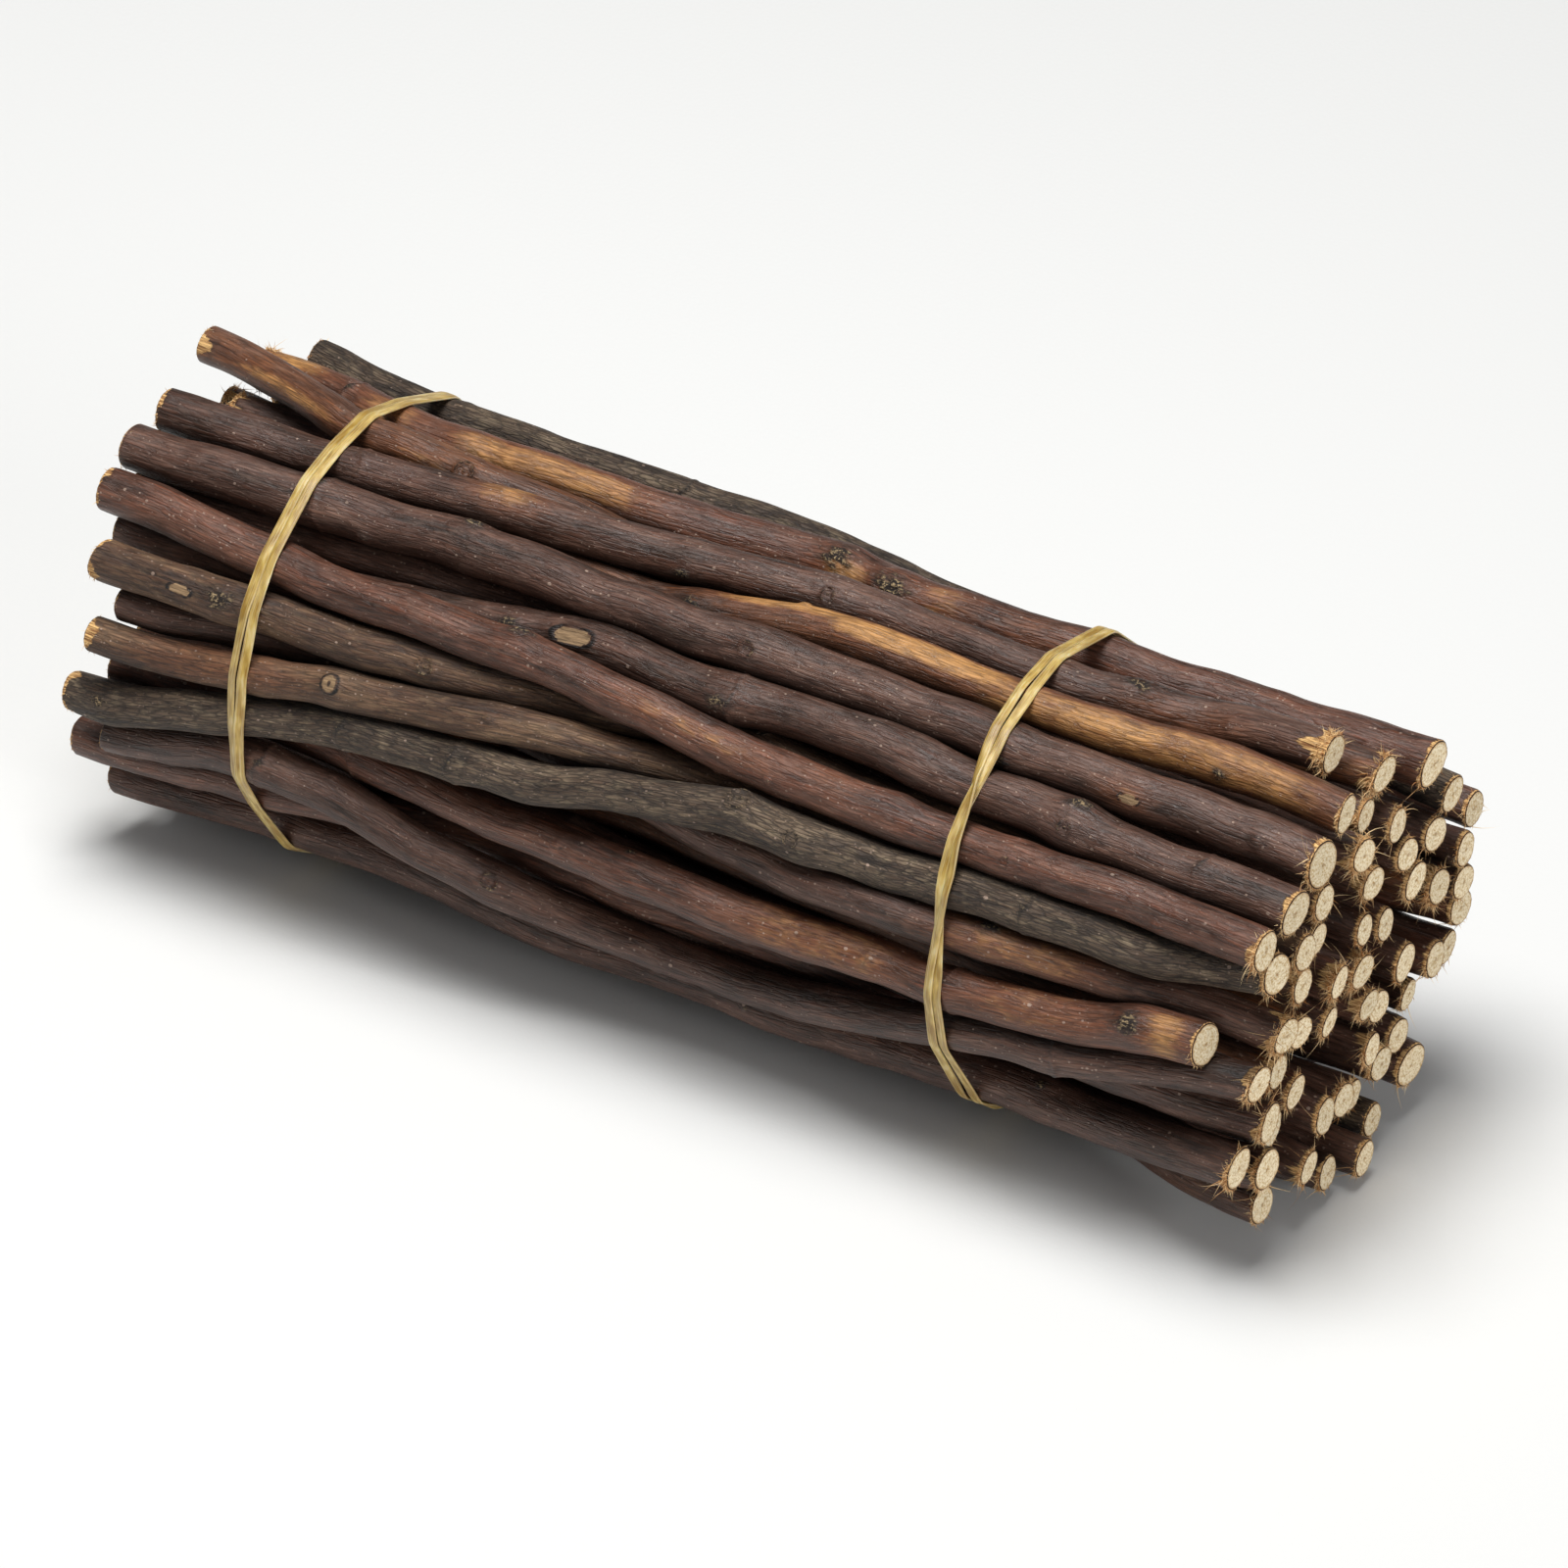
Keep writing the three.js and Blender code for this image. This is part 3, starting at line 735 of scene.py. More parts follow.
BARK_FINISHES = {
    # a smooth plum-brown skin with a satin shine
    Bark.PURPLE_BROWN: BarkFinish(
        "willow_bark_purple_brown",
        dark="#38271e", middle="#563c31", light="#6f5143", streak="#5f3929",
    ),
    # the same skin, warmer and redder
    Bark.RED_BROWN: BarkFinish(
        "willow_bark_red_brown",
        dark="#3e271c", middle="#5f3e30", light="#78513f", streak="#75412a",
        streak_share=0.55,
    ),
    # a lighter brown skin, worn thin
    Bark.ORANGE_TAN: BarkFinish(
        "willow_bark_orange_tan",
        dark="#42291c", middle="#674431", light="#80573c", streak="#8a522d",
        streak_share=0.55, bloom_share=0.3,
    ),
    # an older, dull grey-green skin that has begun to crack
    Bark.GREY_GREEN: BarkFinish(
        "willow_bark_grey_green",
        dark="#362a20", middle="#574739", light="#73614e", streak="#523b2a",
        bloom="#9c8a70", bloom_share=0.5, crackle_share=0.6, crackle=Grain(5.0, 0.75),
        roughness=0.62, wrinkle_mm=0.2,
    ),
    # the same older skin, browner and less cracked
    Bark.OLIVE_BROWN: BarkFinish(
        "willow_bark_olive_brown",
        dark="#3d2a1e", middle="#5f4533", light="#7d6148", streak="#694530",
        bloom="#957a5c", bloom_share=0.4, crackle_share=0.4, roughness=0.56, wrinkle_mm=0.15,
    ),
}


# ---- what the eye finds on a twig ----

class KnotKind(Enum):
    """The marks that side shoots leave on a twig."""

    BUD = "bud"                # a small raised bud with a dark edge
    CRATER = "crater"          # a round healed stub, sunk in the middle
    ROUGH = "rough"            # a cluster of rough black and cream corky specks
    FLAT_SCAR = "flat_scar"    # an oval cut flush with the bark, bare wood showing
    PALE_KNOT = "pale_knot"    # a round cut stub with a pale face and a dark heart
    RING = "ring"              # a year's ring scar all round the twig


@dataclass(frozen=True)
class Knot:
    """One knot: its kind, its place along and round the twig, and its half length."""

    kind: KnotKind
    x_mm: float
    clock: float = 50.0
    size_mm: float = 2.4

    def swelling(self, x_mm: np.ndarray) -> np.ndarray:
        """How much thicker, in millimetres, the whole twig is near the knot."""
        swell = {KnotKind.BUD: 0.12, KnotKind.FLAT_SCAR: 0.2, KnotKind.RING: 0.3}
        return swell.get(self.kind, 0.42) * bell((x_mm - self.x_mm) / 5.5)

    def apply(
        self, x_mm: np.ndarray, angle: np.ndarray, radius: np.ndarray, marks: dict[str, np.ndarray]
    ) -> np.ndarray:
        """Raises the knot and paints its marks.

        Args:
            x_mm: where each point is along the twig.
            angle: its angle round the twig, in radians.
            radius: its distance from the twig's middle.
            marks: the marks of every point, changed in place.

        Returns:
            The outward relief of every point, in millimetres.
        """
        turn = turn_between(angle, self.clock)
        along = (x_mm - self.x_mm) / self.size_mm
        around = radius * turn / self.size_mm
        out = np.hypot(along, around)
        if self.kind is KnotKind.BUD:
            self._mark(marks, "stain", 0.6 * bell(np.hypot(along - 0.7, 1.3 * around) / 0.6))
            self._mark(marks, "rough", 0.5 * bell(out / 0.6))
            return 0.34 * self.size_mm * bell(np.hypot(along + 0.2, around) / 0.7)
        if self.kind is KnotKind.CRATER:
            ring = bell((out - 0.8) / 0.2)
            self._mark(marks, "rough", 0.72 * np.maximum(ring, bell(out / 0.3)))
            rings = 0.55 * bell((out - 0.5) / 0.25) + 0.4 * bell((out - 1.15) / 0.2)
            self._mark(marks, "stain", rings)
            return 0.2 * self.size_mm * (ring - 0.7 * bell((out - 0.4) / 0.22))
        if self.kind is KnotKind.ROUGH:
            out = np.hypot(along / 1.5, around)
            lumps = 0.6 + 0.4 * np.sin(7.1 * along + 2.0) * np.sin(8.3 * around)
            self._mark(marks, "rough", 0.8 * bell(out / 0.95))
            self._mark(marks, "stain", 0.7 * bell(out / 1.5))
            return 0.26 * self.size_mm * lumps * bell(out / 1.0)
        if self.kind is KnotKind.PALE_KNOT:
            self._mark(marks, "scar", ease(0.85, 0.6, out) * ease(0.12, 0.3, out))
            self._mark(marks, "stain", 0.9 * bell((out - 1.0) / 0.2) + bell(out / 0.22))
            heart = 0.08 * self.size_mm * bell(out / 0.25)
            return 0.22 * self.size_mm * ease(1.3, 0.8, out) - heart
        if self.kind is KnotKind.FLAT_SCAR:
            half_width = 0.42 * self.size_mm
            out = np.hypot(along, radius * turn / half_width)
            inside = ease(1.05, 0.8, out)
            flat = radius * np.cos(half_width / radius) / np.maximum(np.cos(turn), 0.5)
            self._mark(marks, "scar", ease(1.0, 0.86, out))
            self._mark(marks, "stain", 0.95 * bell((out - 1.12) / 0.2))
            return inside * np.minimum(flat - radius, 0.0) + 0.28 * bell((out - 1.1) / 0.16)
        ring = bell((x_mm - self.x_mm + 0.7 * np.sin(2 * turn) + 0.3 * np.sin(5 * turn)) / 0.6)
        self._mark(marks, "stain", 0.36 * ring + 0.4 * bell(out / 1.3))
        self._mark(marks, "rough", 0.5 * bell(out / 0.8))
        return 0.24 * ring + 0.2 * self.size_mm * bell(out / 0.9)

    @staticmethod
    def _mark(marks: dict[str, np.ndarray], name: str, strength: np.ndarray) -> None:
        """Strengthens one mark to at least the given strength at every point."""
        marks[name] = np.maximum(marks[name], strength)


@dataclass(frozen=True)
class RubbedPatch:
    """A stretch of bark rubbed through to the orange bast, on one side of the twig; on twig 3 the
    first one is partly a painted highlight.
    """

    from_mm: float
    to_mm: float
    clock: float = 40.0
    half_turn: float = 70.0
    strength: float = 1.0

    def cover(self, x_mm: np.ndarray, angle: np.ndarray) -> np.ndarray:
        """How strongly the patch shows at each point, from 0 to 1."""
        fade_mm = min(16.0, 0.5 * (self.to_mm - self.from_mm))
        along = ease(self.from_mm - fade_mm, self.from_mm + fade_mm, x_mm)
        along = along * ease(self.to_mm + fade_mm, self.to_mm - fade_mm, x_mm)
        turn = np.degrees(np.abs(turn_between(angle, self.clock)))
        return self.strength * along * ease(self.half_turn + 35.0, self.half_turn - 35.0, turn)


@dataclass(frozen=True)
class Fray:
    """How the saw left one end: a fringe of fibres, and bark torn back from the cut."""

    hairs: int = 75
    length_mm: float = 0.9
    clock: float = 110.0
    half_turn: float = 125.0
    torn_mm: float = 1.0
    whiskers: int = 2


@dataclass(frozen=True)
class TwigLook:
    """Everything that sets one twig apart from the next."""

    knots: tuple[Knot, ...] = ()
    patches: tuple[RubbedPatch, ...] = ()
    near: Fray = Fray()
    far: Fray = Fray(hairs=24, length_mm=0.6, clock=40.0, torn_mm=0.25, whiskers=0)
    tint: float = 1.0
    waviness: float = 1.0
    taper: float = 0.0         # how much slimmer the twig gets towards its near end
    trim_mm: float = 0.0       # how much shorter than its solid it is sawn
    bark: Bark | None = None   # another kind of bark than its slot's

    def with_growth(self, dice: np.random.Generator, spacing_mm: float) -> "TwigLook":
        """Adds the small buds that every twig has, turning round it as they go.

        Args:
            dice: the twig's own random numbers.
            spacing_mm: the usual distance between buds.

        Returns:
            The look with the buds added, none of them on a knot that is there already.
        """
        knots = list(self.knots)
        kinds = [KnotKind.BUD, KnotKind.BUD, KnotKind.CRATER, KnotKind.ROUGH, KnotKind.RING]
        x_mm = -140.0 + spacing_mm * dice.random()
        clock = 360.0 * dice.random()
        while x_mm < 140.0:
            if all(abs(x_mm - knot.x_mm) > 10.0 for knot in self.knots):
                kind = kinds[dice.integers(len(kinds))]
                knots.append(Knot(kind, x_mm, clock, 1.2 + 0.8 * dice.random()))
            x_mm += spacing_mm * (0.6 + 0.8 * dice.random())
            clock += 144.0 + 40.0 * dice.random()
        return replace(self, knots=tuple(knots))


BUD, CRATER, ROUGH = KnotKind.BUD, KnotKind.CRATER, KnotKind.ROUGH
FLAT, PALE, RING = KnotKind.FLAT_SCAR, KnotKind.PALE_KNOT, KnotKind.RING
SHAGGY = Fray(hairs=230, length_mm=1.9, clock=110.0, half_turn=160.0, torn_mm=3.4, whiskers=8)
FUZZY = Fray(hairs=130, length_mm=1.3, clock=112.0, half_turn=135.0, torn_mm=1.7, whiskers=4)
FUZZY_ABOVE = Fray(hairs=130, length_mm=1.2, clock=30.0, half_turn=130.0, torn_mm=2.2, whiskers=4)
TATTERED = Fray(hairs=120, length_mm=1.5, clock=40.0, half_turn=150.0, torn_mm=3.5, whiskers=2)
WORN = Fray(hairs=30, length_mm=0.6, clock=95.0, half_turn=120.0, torn_mm=2.4, whiskers=0)

# the twigs that show on the top and the near side, by number
SHOWN_LOOKS: dict[int, TwigLook] = {
    1: TwigLook(knots=(Knot(RING, -40, 40), Knot(BUD, 60, 30, 1.6)), tint=0.82),
    2: TwigLook(
        knots=(
            Knot(ROUGH, -84, 64, 2.8), Knot(ROUGH, 8, 32, 3.6), Knot(ROUGH, 23, 40, 4.2),
            Knot(BUD, 140, 60, 1.6),
        ),
        patches=(
            RubbedPatch(-150, -122, -5, 50, 0.8), RubbedPatch(-118, -92, 30, 60, 0.66),
            RubbedPatch(-94, -34, 35, 55, 0.72), RubbedPatch(2, 20, 60, 50, 0.8),
            RubbedPatch(24, 46, 40, 60, 0.6), RubbedPatch(48, 70, 45, 60, 0.5),
        ),
        far=Fray(hairs=170, length_mm=1.7, clock=0.0, half_turn=150.0, torn_mm=6.0, whiskers=2),
    ),
    3: TwigLook(
        knots=(Knot(CRATER, -77, 40, 2.4), Knot(BUD, 60, 60, 1.6)),
        # the first patch, a narrow golden streak at clock 60, is partly rubbed bark and partly a
        # painted highlight
        patches=(RubbedPatch(-150, -104, 60, 34, 0.72), RubbedPatch(-102, -72, 70, 50, 0.6)),
        near=SHAGGY,
        far=Fray(hairs=40, length_mm=0.6, clock=5.0, half_turn=90.0, torn_mm=3.6, whiskers=0),
    ),
    4: TwigLook(
        knots=(Knot(CRATER, 17, 48, 2.0), Knot(ROUGH, 94, 0, 3.0)),
        patches=(RubbedPatch(-72, -50, -10, 70, 0.7), RubbedPatch(84, 126, 70, 60, 0.5)),
        near=Fray(hairs=200, length_mm=1.4, clock=40.0, half_turn=140.0, torn_mm=5.5, whiskers=0),
        far=Fray(hairs=50, length_mm=1.1, clock=110.0, torn_mm=1.5, whiskers=0),
    ),
    5: TwigLook(
        knots=(
            Knot(BUD, -87, 100, 2.2), Knot(ROUGH, -64, -20, 2.6), Knot(CRATER, 11, 54, 2.0),
            Knot(ROUGH, 77, 92, 2.2), Knot(FLAT, 108, 68, 2.4), Knot(BUD, 140, 60),
        ),
        patches=(RubbedPatch(98, 114, 65, 45, 0.55),),
        near=FUZZY,
    ),
    6: TwigLook(
        knots=(Knot(ROUGH, -9, 48, 2.6), Knot(ROUGH, 122, 80, 1.8)),
        patches=(
            RubbedPatch(-8, 36, -10, 32, 0.9), RubbedPatch(20, 74, 12, 44, 0.95),
            RubbedPatch(-4, 72, 60, 40, 0.42), RubbedPatch(56, 152, 55, 75, 0.7),
            RubbedPatch(74, 116, 40, 40, 0.85),
        ),
        near=Fray(hairs=50, length_mm=1.0, torn_mm=0.6, whiskers=1),
    ),
    7: TwigLook(
        knots=(Knot(BUD, 30, 80, 1.7), Knot(ROUGH, -39, -10, 2.4), Knot(CRATER, 89, 64, 1.5)),
        patches=(RubbedPatch(-16, 30, 40, 40, 0.6), RubbedPatch(34, 54, 20, 40, 0.5)), near=FUZZY,
        far=Fray(hairs=30, length_mm=0.6, clock=20.0, half_turn=80.0, torn_mm=2.0, whiskers=0),
    ),
    8: TwigLook(
        knots=(
            Knot(FLAT, -29, 45, 5.2), Knot(RING, 13, 60, 2.6), Knot(ROUGH, 10, 68, 2.4),
            Knot(ROUGH, -46, 40, 2.4), Knot(ROUGH, 99, -5, 2.6), Knot(CRATER, 99, 60, 1.8),
        ),
    ),
    9: TwigLook(
        knots=(Knot(FLAT, -122, 62, 2.8), Knot(ROUGH, -112, 52, 3.2), Knot(CRATER, -60, 56, 2.2)),
        near=FUZZY, far=WORN, bark=Bark.OLIVE_BROWN,
    ),
    10: TwigLook(
        knots=(Knot(ROUGH, 87, 12, 2.2),), near=SHAGGY,
        patches=(RubbedPatch(70, 120, 40, 80, 0.6),),
    ),
    11: TwigLook(
        knots=(Knot(PALE, -80, 48, 2.3), Knot(BUD, -40, 50, 1.6)), near=FUZZY, far=WORN,
        bark=Bark.OLIVE_BROWN,
        patches=(RubbedPatch(-135, -85, 40, 80, 0.5),),
    ),
    12: TwigLook(
        knots=(
            Knot(ROUGH, -140, 55, 2.2), Knot(RING, -47, 60, 2.6), Knot(CRATER, 24, 10, 3.0),
            Knot(CRATER, 39, 60, 2.2), Knot(RING, 96, 50, 2.6), Knot(RING, -76, 60, 2.0),
        ),
        near=FUZZY, far=WORN, waviness=1.7,
    ),
    13: TwigLook(patches=(RubbedPatch(-60, -40, 60, 50, 0.5),), near=FUZZY),
    14: TwigLook(
        knots=(Knot(RING, -98, 55, 2.4), Knot(CRATER, -40, 50, 2.2)), tint=0.95, near=FUZZY,
    ),
    15: TwigLook(knots=(Knot(BUD, 20, 70, 1.8),), near=FUZZY),
    16: TwigLook(
        knots=(Knot(ROUGH, 126, 46, 2.8), Knot(BUD, -20, 60, 1.8), Knot(BUD, 60, 60, 2.0)),
        patches=(
            RubbedPatch(20, 74, 50, 80, 0.58), RubbedPatch(80, 122, 40, 80, 0.55),
            RubbedPatch(128, 141, 60, 80, 0.75),
        ),
        near=Fray(hairs=50, length_mm=0.9, clock=150.0, torn_mm=0.7, whiskers=1),
    ),
    17: TwigLook(near=FUZZY),
    18: TwigLook(tint=0.85),
    19: TwigLook(near=FUZZY),
}
FAR_ENDS: dict[int, Fray] = {31: TATTERED, 32: TATTERED, 38: FUZZY_ABOVE}
NEAR_ENDS: dict[int, Fray] = {
    31: TATTERED, 51: TATTERED,
    **dict.fromkeys((32, 56), FUZZY_ABOVE),
    **dict.fromkeys((33, 36, 42, 43), SHAGGY),
    **dict.fromkeys((35, 37, 38, 46, 48, 50, 53, 54, 57, 58), FUZZY),
}


# ---- the twigs ----

@dataclass
class Blank:
    """A straight stick one unit long and one in radius, which twigs are shaped from.

    Its side is cut into rings and its ends into circles, so that a point's place on a twig is
    known by its share of the length, its share of the radius, and its angle.
    """

    name: str
    sides: int
    cuts: tuple[int, int]
    mesh: Mesh = field(init=False)
    share: np.ndarray = field(init=False)
    out: np.ndarray = field(init=False)
    angle: np.ndarray = field(init=False)

    def model(self) -> None:
        """Models the stick and reads the places of its points."""
        bpy.ops.object.select_all(action="DESELECT")
        bpy.ops.mesh.primitive_cylinder_add(
            vertices=self.sides, radius=1.0, depth=1.0, rotation=(0.0, math.pi / 2, 0.0)
        )
        stick = bpy.context.active_object
        bpy.ops.object.transform_apply(location=True, rotation=True, scale=True)
        for cuts in self.cuts:
            self._select_long_edges(stick.data)
            edit_mesh((False, True, False))
            bpy.ops.mesh.subdivide(number_cuts=cuts)
            bpy.ops.object.mode_set(mode="OBJECT")
        for polygon in stick.data.polygons:
            polygon.select = abs(polygon.normal.x) > 0.9
        edit_mesh((False, False, True))
        for step in (0.04, 0.12, 0.2, 0.24, 0.2):
            bpy.ops.mesh.inset(thickness=step, use_individual=True)
        bpy.ops.mesh.poke()
        bpy.ops.object.mode_set(mode="OBJECT")
        places = point_coordinates(stick.data)
        self.share = np.clip(places[:, 0] + 0.5, 0.0, 1.0)
        self.out = np.minimum(np.hypot(places[:, 1], places[:, 2]), 1.0)
        self.angle = np.arctan2(-places[:, 1], places[:, 2])
        self.mesh = stick.data
        self.mesh.name = self.name
        bpy.data.objects.remove(stick)

    @staticmethod
    def _select_long_edges(mesh: Mesh) -> None:
        """Selects only the edges that run along the stick."""
        places = point_coordinates(mesh)
        ends = np.empty(len(mesh.edges) * 2, np.int32)
        mesh.edges.foreach_get("vertices", ends)
        run = places[ends[1::2]] - places[ends[0::2]]
        along = np.abs(run[:, 0]) > 0.9 * np.linalg.norm(run, axis=1)
        mesh.polygons.foreach_set("select", np.zeros(len(mesh.polygons), bool))
        mesh.vertices.foreach_set("select", np.zeros(len(mesh.vertices), bool))
        mesh.edges.foreach_set("select", along)


@dataclass
class Thread:
    """One tapered fibre, modelled once, which every loose fibre of the bundle is copied from."""

    sides: int = 3
    cuts: int = 3
    share: np.ndarray = field(init=False)
    ring: np.ndarray = field(init=False)
    faces: list[tuple[int, ...]] = field(init=False)

    def model(self) -> None:
        """Models the fibre as a slim cone and reads its points and faces."""
        bpy.ops.object.select_all(action="DESELECT")
        bpy.ops.mesh.primitive_cone_add(
            vertices=self.sides, radius1=1.0, radius2=0.0, depth=1.0, location=(0.0, 0.0, 0.5)
        )
        cone = bpy.context.active_object
        bpy.ops.object.transform_apply(location=True, rotation=False, scale=False)
        for edge in cone.data.edges:
            heights = [cone.data.vertices[i].co.z for i in edge.vertices]
            edge.select = abs(heights[0] - heights[1]) > 0.5
        for other in [*cone.data.polygons, *cone.data.vertices]:
            other.select = False
        edit_mesh((False, True, False))
        bpy.ops.mesh.subdivide(number_cuts=self.cuts)
        bpy.ops.object.mode_set(mode="OBJECT")
        places = point_coordinates(cone.data)
        self.share = places[:, 2]
        self.ring = places[:, :2]
        self.faces = [tuple(polygon.vertices) for polygon in cone.data.polygons]
        bpy.data.meshes.remove(cone.data)

    def tuft(
        self, roots: np.ndarray, reaches: np.ndarray, bends: np.ndarray, thick: np.ndarray
    ) -> tuple[np.ndarray, list[tuple[int, ...]]]:
        """Copies the fibre once for every root.

        Args:
            roots: where the fibres start.
            reaches: from each root to the tip of its straight fibre.
            bends: how far each tip is bent aside.
            thick: each fibre's radius at the root.

        Returns:
            The points of all the fibres and their faces.
        """
        heading = unit(reaches)
        across = unit(np.cross(heading, unit(heading + np.array([0.31, 0.17, 0.93]))))
        other = np.cross(heading, across)
        t = self.share[None, :, None]
        middle = roots[:, None] + t * reaches[:, None] + t * t * bends[:, None]
        width = thick[:, None, None]
        points = middle + width * (
            self.ring[None, :, :1] * across[:, None] + self.ring[None, :, 1:] * other[:, None]
        )
        count = len(self.share)
        faces = [
            tuple(i + count * k for i in face) for k in range(len(roots)) for face in self.faces
        ]
        return points.reshape(-1, 3), faces


@dataclass(frozen=True)
class Course:
    """The way of one twig through the bundle, read from its solid."""

    xs: np.ndarray
    middles: np.ndarray
    radii: np.ndarray
    end_normals: np.ndarray

    @classmethod
    def of_node(cls, node: str) -> "Course":
        """Reads the rings of a twig's solid: both ends are capped, the rest are bare rings."""
        points = np.unique(np.round(point_coordinates(frame["nodes"][node].data) / MM, 3), axis=0)
        sides = 8
        capped = sides + 1
        inner = points[capped:-capped].reshape(-1, sides, 3)
        rings = [points[:capped], *inner, points[-capped:]]
        middles = np.array([ring.mean(axis=0) for ring in rings])
        radii = np.array([
            np.linalg.norm((ring - middle)[:, 1:], axis=1).max()
            for ring, middle in zip(rings, middles)
        ])
        normals = []
        for ring, middle in ((rings[0], middles[0]), (rings[-1], middles[-1])):
            slopes = np.linalg.lstsq((ring - middle)[:, 1:], (ring - middle)[:, 0], rcond=None)[0]
            normals.append(unit(np.array([1.0, -slopes[0], -slopes[1]])))
        return cls(middles[:, 0], middles, radii, np.array(normals))


@dataclass
class Twig:
    """One twig: its way through the bundle, its bark, its knots and its sawn ends."""

    number: int
    look: TwigLook
    blank: Blank
    thread: Thread
    materials: tuple[Material, Material, Material]
    slot: str
    node: str = field(init=False)
    dice: np.random.Generator = field(init=False)
    course: Course = field(init=False)
    table_x: np.ndarray = field(init=False)
    table_middle: np.ndarray = field(init=False)
    table_heading: np.ndarray = field(init=False)
    table_radius: np.ndarray = field(init=False)
    surface: np.ndarray = field(init=False)
    tint: np.ndarray = field(init=False)
    piece: Object = field(init=False)

    def __post_init__(self) -> None:
        """Reads the twig's solid and starts its own random numbers."""
        self.node = f"twig_{self.number:02d}"
        self.dice = np.random.default_rng(SEED * 1000 + self.number)
        self.course = Course.of_node(self.node)
        self._lay_table()

    def _lay_table(self) -> None:
        """Works out the twig's middle line, heading and radius at close steps along it."""
        low, high = self.course.xs[0], self.course.xs[-1] - self.look.trim_mm
        count = int((high - low) / TABLE_STEP_MM)
        self.table_x = np.linspace(low, high, count)
        middle = smooth_curve(self.course.xs, self.course.middles, self.table_x)
        held = np.minimum(self.table_x - low, high - self.table_x)
        for length_mm, size_mm in ((70.0, 0.32), (34.0, 0.16), (19.0, 0.06)):
            for axis in (1, 2):
                phase = 2 * math.pi * self.dice.random()
                stretch = length_mm * (0.8 + 0.4 * self.dice.random())
                wave = np.sin(2 * math.pi * self.table_x / stretch + phase)
                middle[:, axis] += self.look.waviness * size_mm * wave * ease(0.0, 20.0, held)
        self.table_middle = middle
        self.table_heading = unit(np.gradient(middle, self.table_x, axis=0))
        radius = smooth_curve(self.course.xs, self.course.radii[:, None], self.table_x)[:, 0]
        for knot in self.look.knots:
            radius = radius + knot.swelling(self.table_x)
        self.table_radius = radius * (1.0 - self.look.taper * ease(25.0, 0.0, high - self.table_x))

    def _read(self, table: np.ndarray, x_mm: np.ndarray) -> np.ndarray:
        """Reads a table of vectors at places along the twig."""
        return np.stack([np.interp(x_mm, self.table_x, column) for column in table.T], axis=1)

    def _ring_places(self) -> np.ndarray:
        """Spreads the blank's rings along the twig, closer together at knots and ends."""
        density = np.ones_like(self.table_x)
        for knot in self.look.knots:
            density += 5.0 * bell((self.table_x - knot.x_mm) / (1.4 * knot.size_mm))
        for end in (self.table_x[0], self.table_x[-1]):
            density += 3.0 * bell((self.table_x - end) / 4.0)
        grown = np.cumsum(density)
        grown = (grown - grown[0]) / (grown[-1] - grown[0])
        return np.interp(self.blank.share, grown, self.table_x)

    def _waves(self, x_mm: np.ndarray, angle: np.ndarray) -> np.ndarray:
        """The slow unevenness of the twig's girth, as a share of its radius."""
        total = np.zeros_like(x_mm)
        for length_mm, turns, size in (
            (95, 0, 0.016), (38, 0, 0.012), (120, 2, 0.020), (60, 2, 0.014), (45, 3, 0.010),
            (26, 1, 0.010), (16, 3, 0.006), (9, 4, 0.0045), (24, 6, 0.005), (14, 8, 0.004),
        ):
            stretch = length_mm * (0.75 + 0.5 * self.dice.random())
            phase = 2 * math.pi * self.dice.random()
            total += size * np.sin(2 * math.pi * x_mm / stretch + turns * angle + phase)
        return total

    def _jagged(self, angle: np.ndarray) -> np.ndarray:
        """An uneven line round the twig, from about 0 to 1, where torn bark stops."""
        line = np.full_like(angle, 0.5)
        for turns in (2, 3, 5, 8, 11, 15):
            line += 0.9 / turns * np.sin(turns * angle + 2 * math.pi * self.dice.random())
        return np.clip(line, 0.0, 1.6)

    def _tear(self, fray: Fray, behind_mm: np.ndarray, angle: np.ndarray) -> np.ndarray:
        """How far the bark is torn away near an end.

        Args:
            fray: how the saw left that end.
            behind_mm: how far each point is behind the cut.
            angle: each point's angle round the twig.

        Returns:
            1 where the bast is bare, falling to 0 where the bark is whole.
        """
        facing = ease(fray.half_turn + 25.0, fray.half_turn - 45.0,
                      np.degrees(np.abs(turn_between(angle, fray.clock))))
        depth = 0.25 + fray.torn_mm * facing * self._jagged(angle)
        return ease(1.25, 0.75, behind_mm / depth)

    def build(self) -> None:
        """Shapes the twig from its blank, paints its marks and adds its fringes."""
        blank, low, high = self.blank, self.table_x[0], self.table_x[-1]
        x_mm = self._ring_places()
        angle = blank.angle
        middle = self._read(self.table_middle, x_mm)
        heading = unit(self._read(self.table_heading, x_mm))
        radius = np.interp(x_mm, self.table_x, self.table_radius)
        radius = radius * (1.0 + self._waves(x_mm, angle))
        marks = {mark: np.zeros_like(x_mm) for mark in MARKS}
        relief = np.zeros_like(x_mm)
        for knot in self.look.knots:
            relief += knot.apply(x_mm, angle, radius, marks)
        for patch in self.look.patches:
            marks["rubbed"] = np.maximum(marks["rubbed"], patch.cover(x_mm, angle))
        for fray, behind in ((self.look.near, high - x_mm), (self.look.far, x_mm - low)):
            torn = self._tear(fray, behind, angle)
            marks["torn"] = np.maximum(marks["torn"], torn)
            relief -= TORN_DEPTH_MM * torn
        radius = radius + relief
        offset = spokes(heading, angle)[0] * (radius * blank.out)[:, None]
        along = self._end_shift(x_mm, heading, offset)
        self.surface = middle + offset + heading * along[:, None]
        self._make_piece(x_mm, angle, radius, marks)
        self._add_fringes()

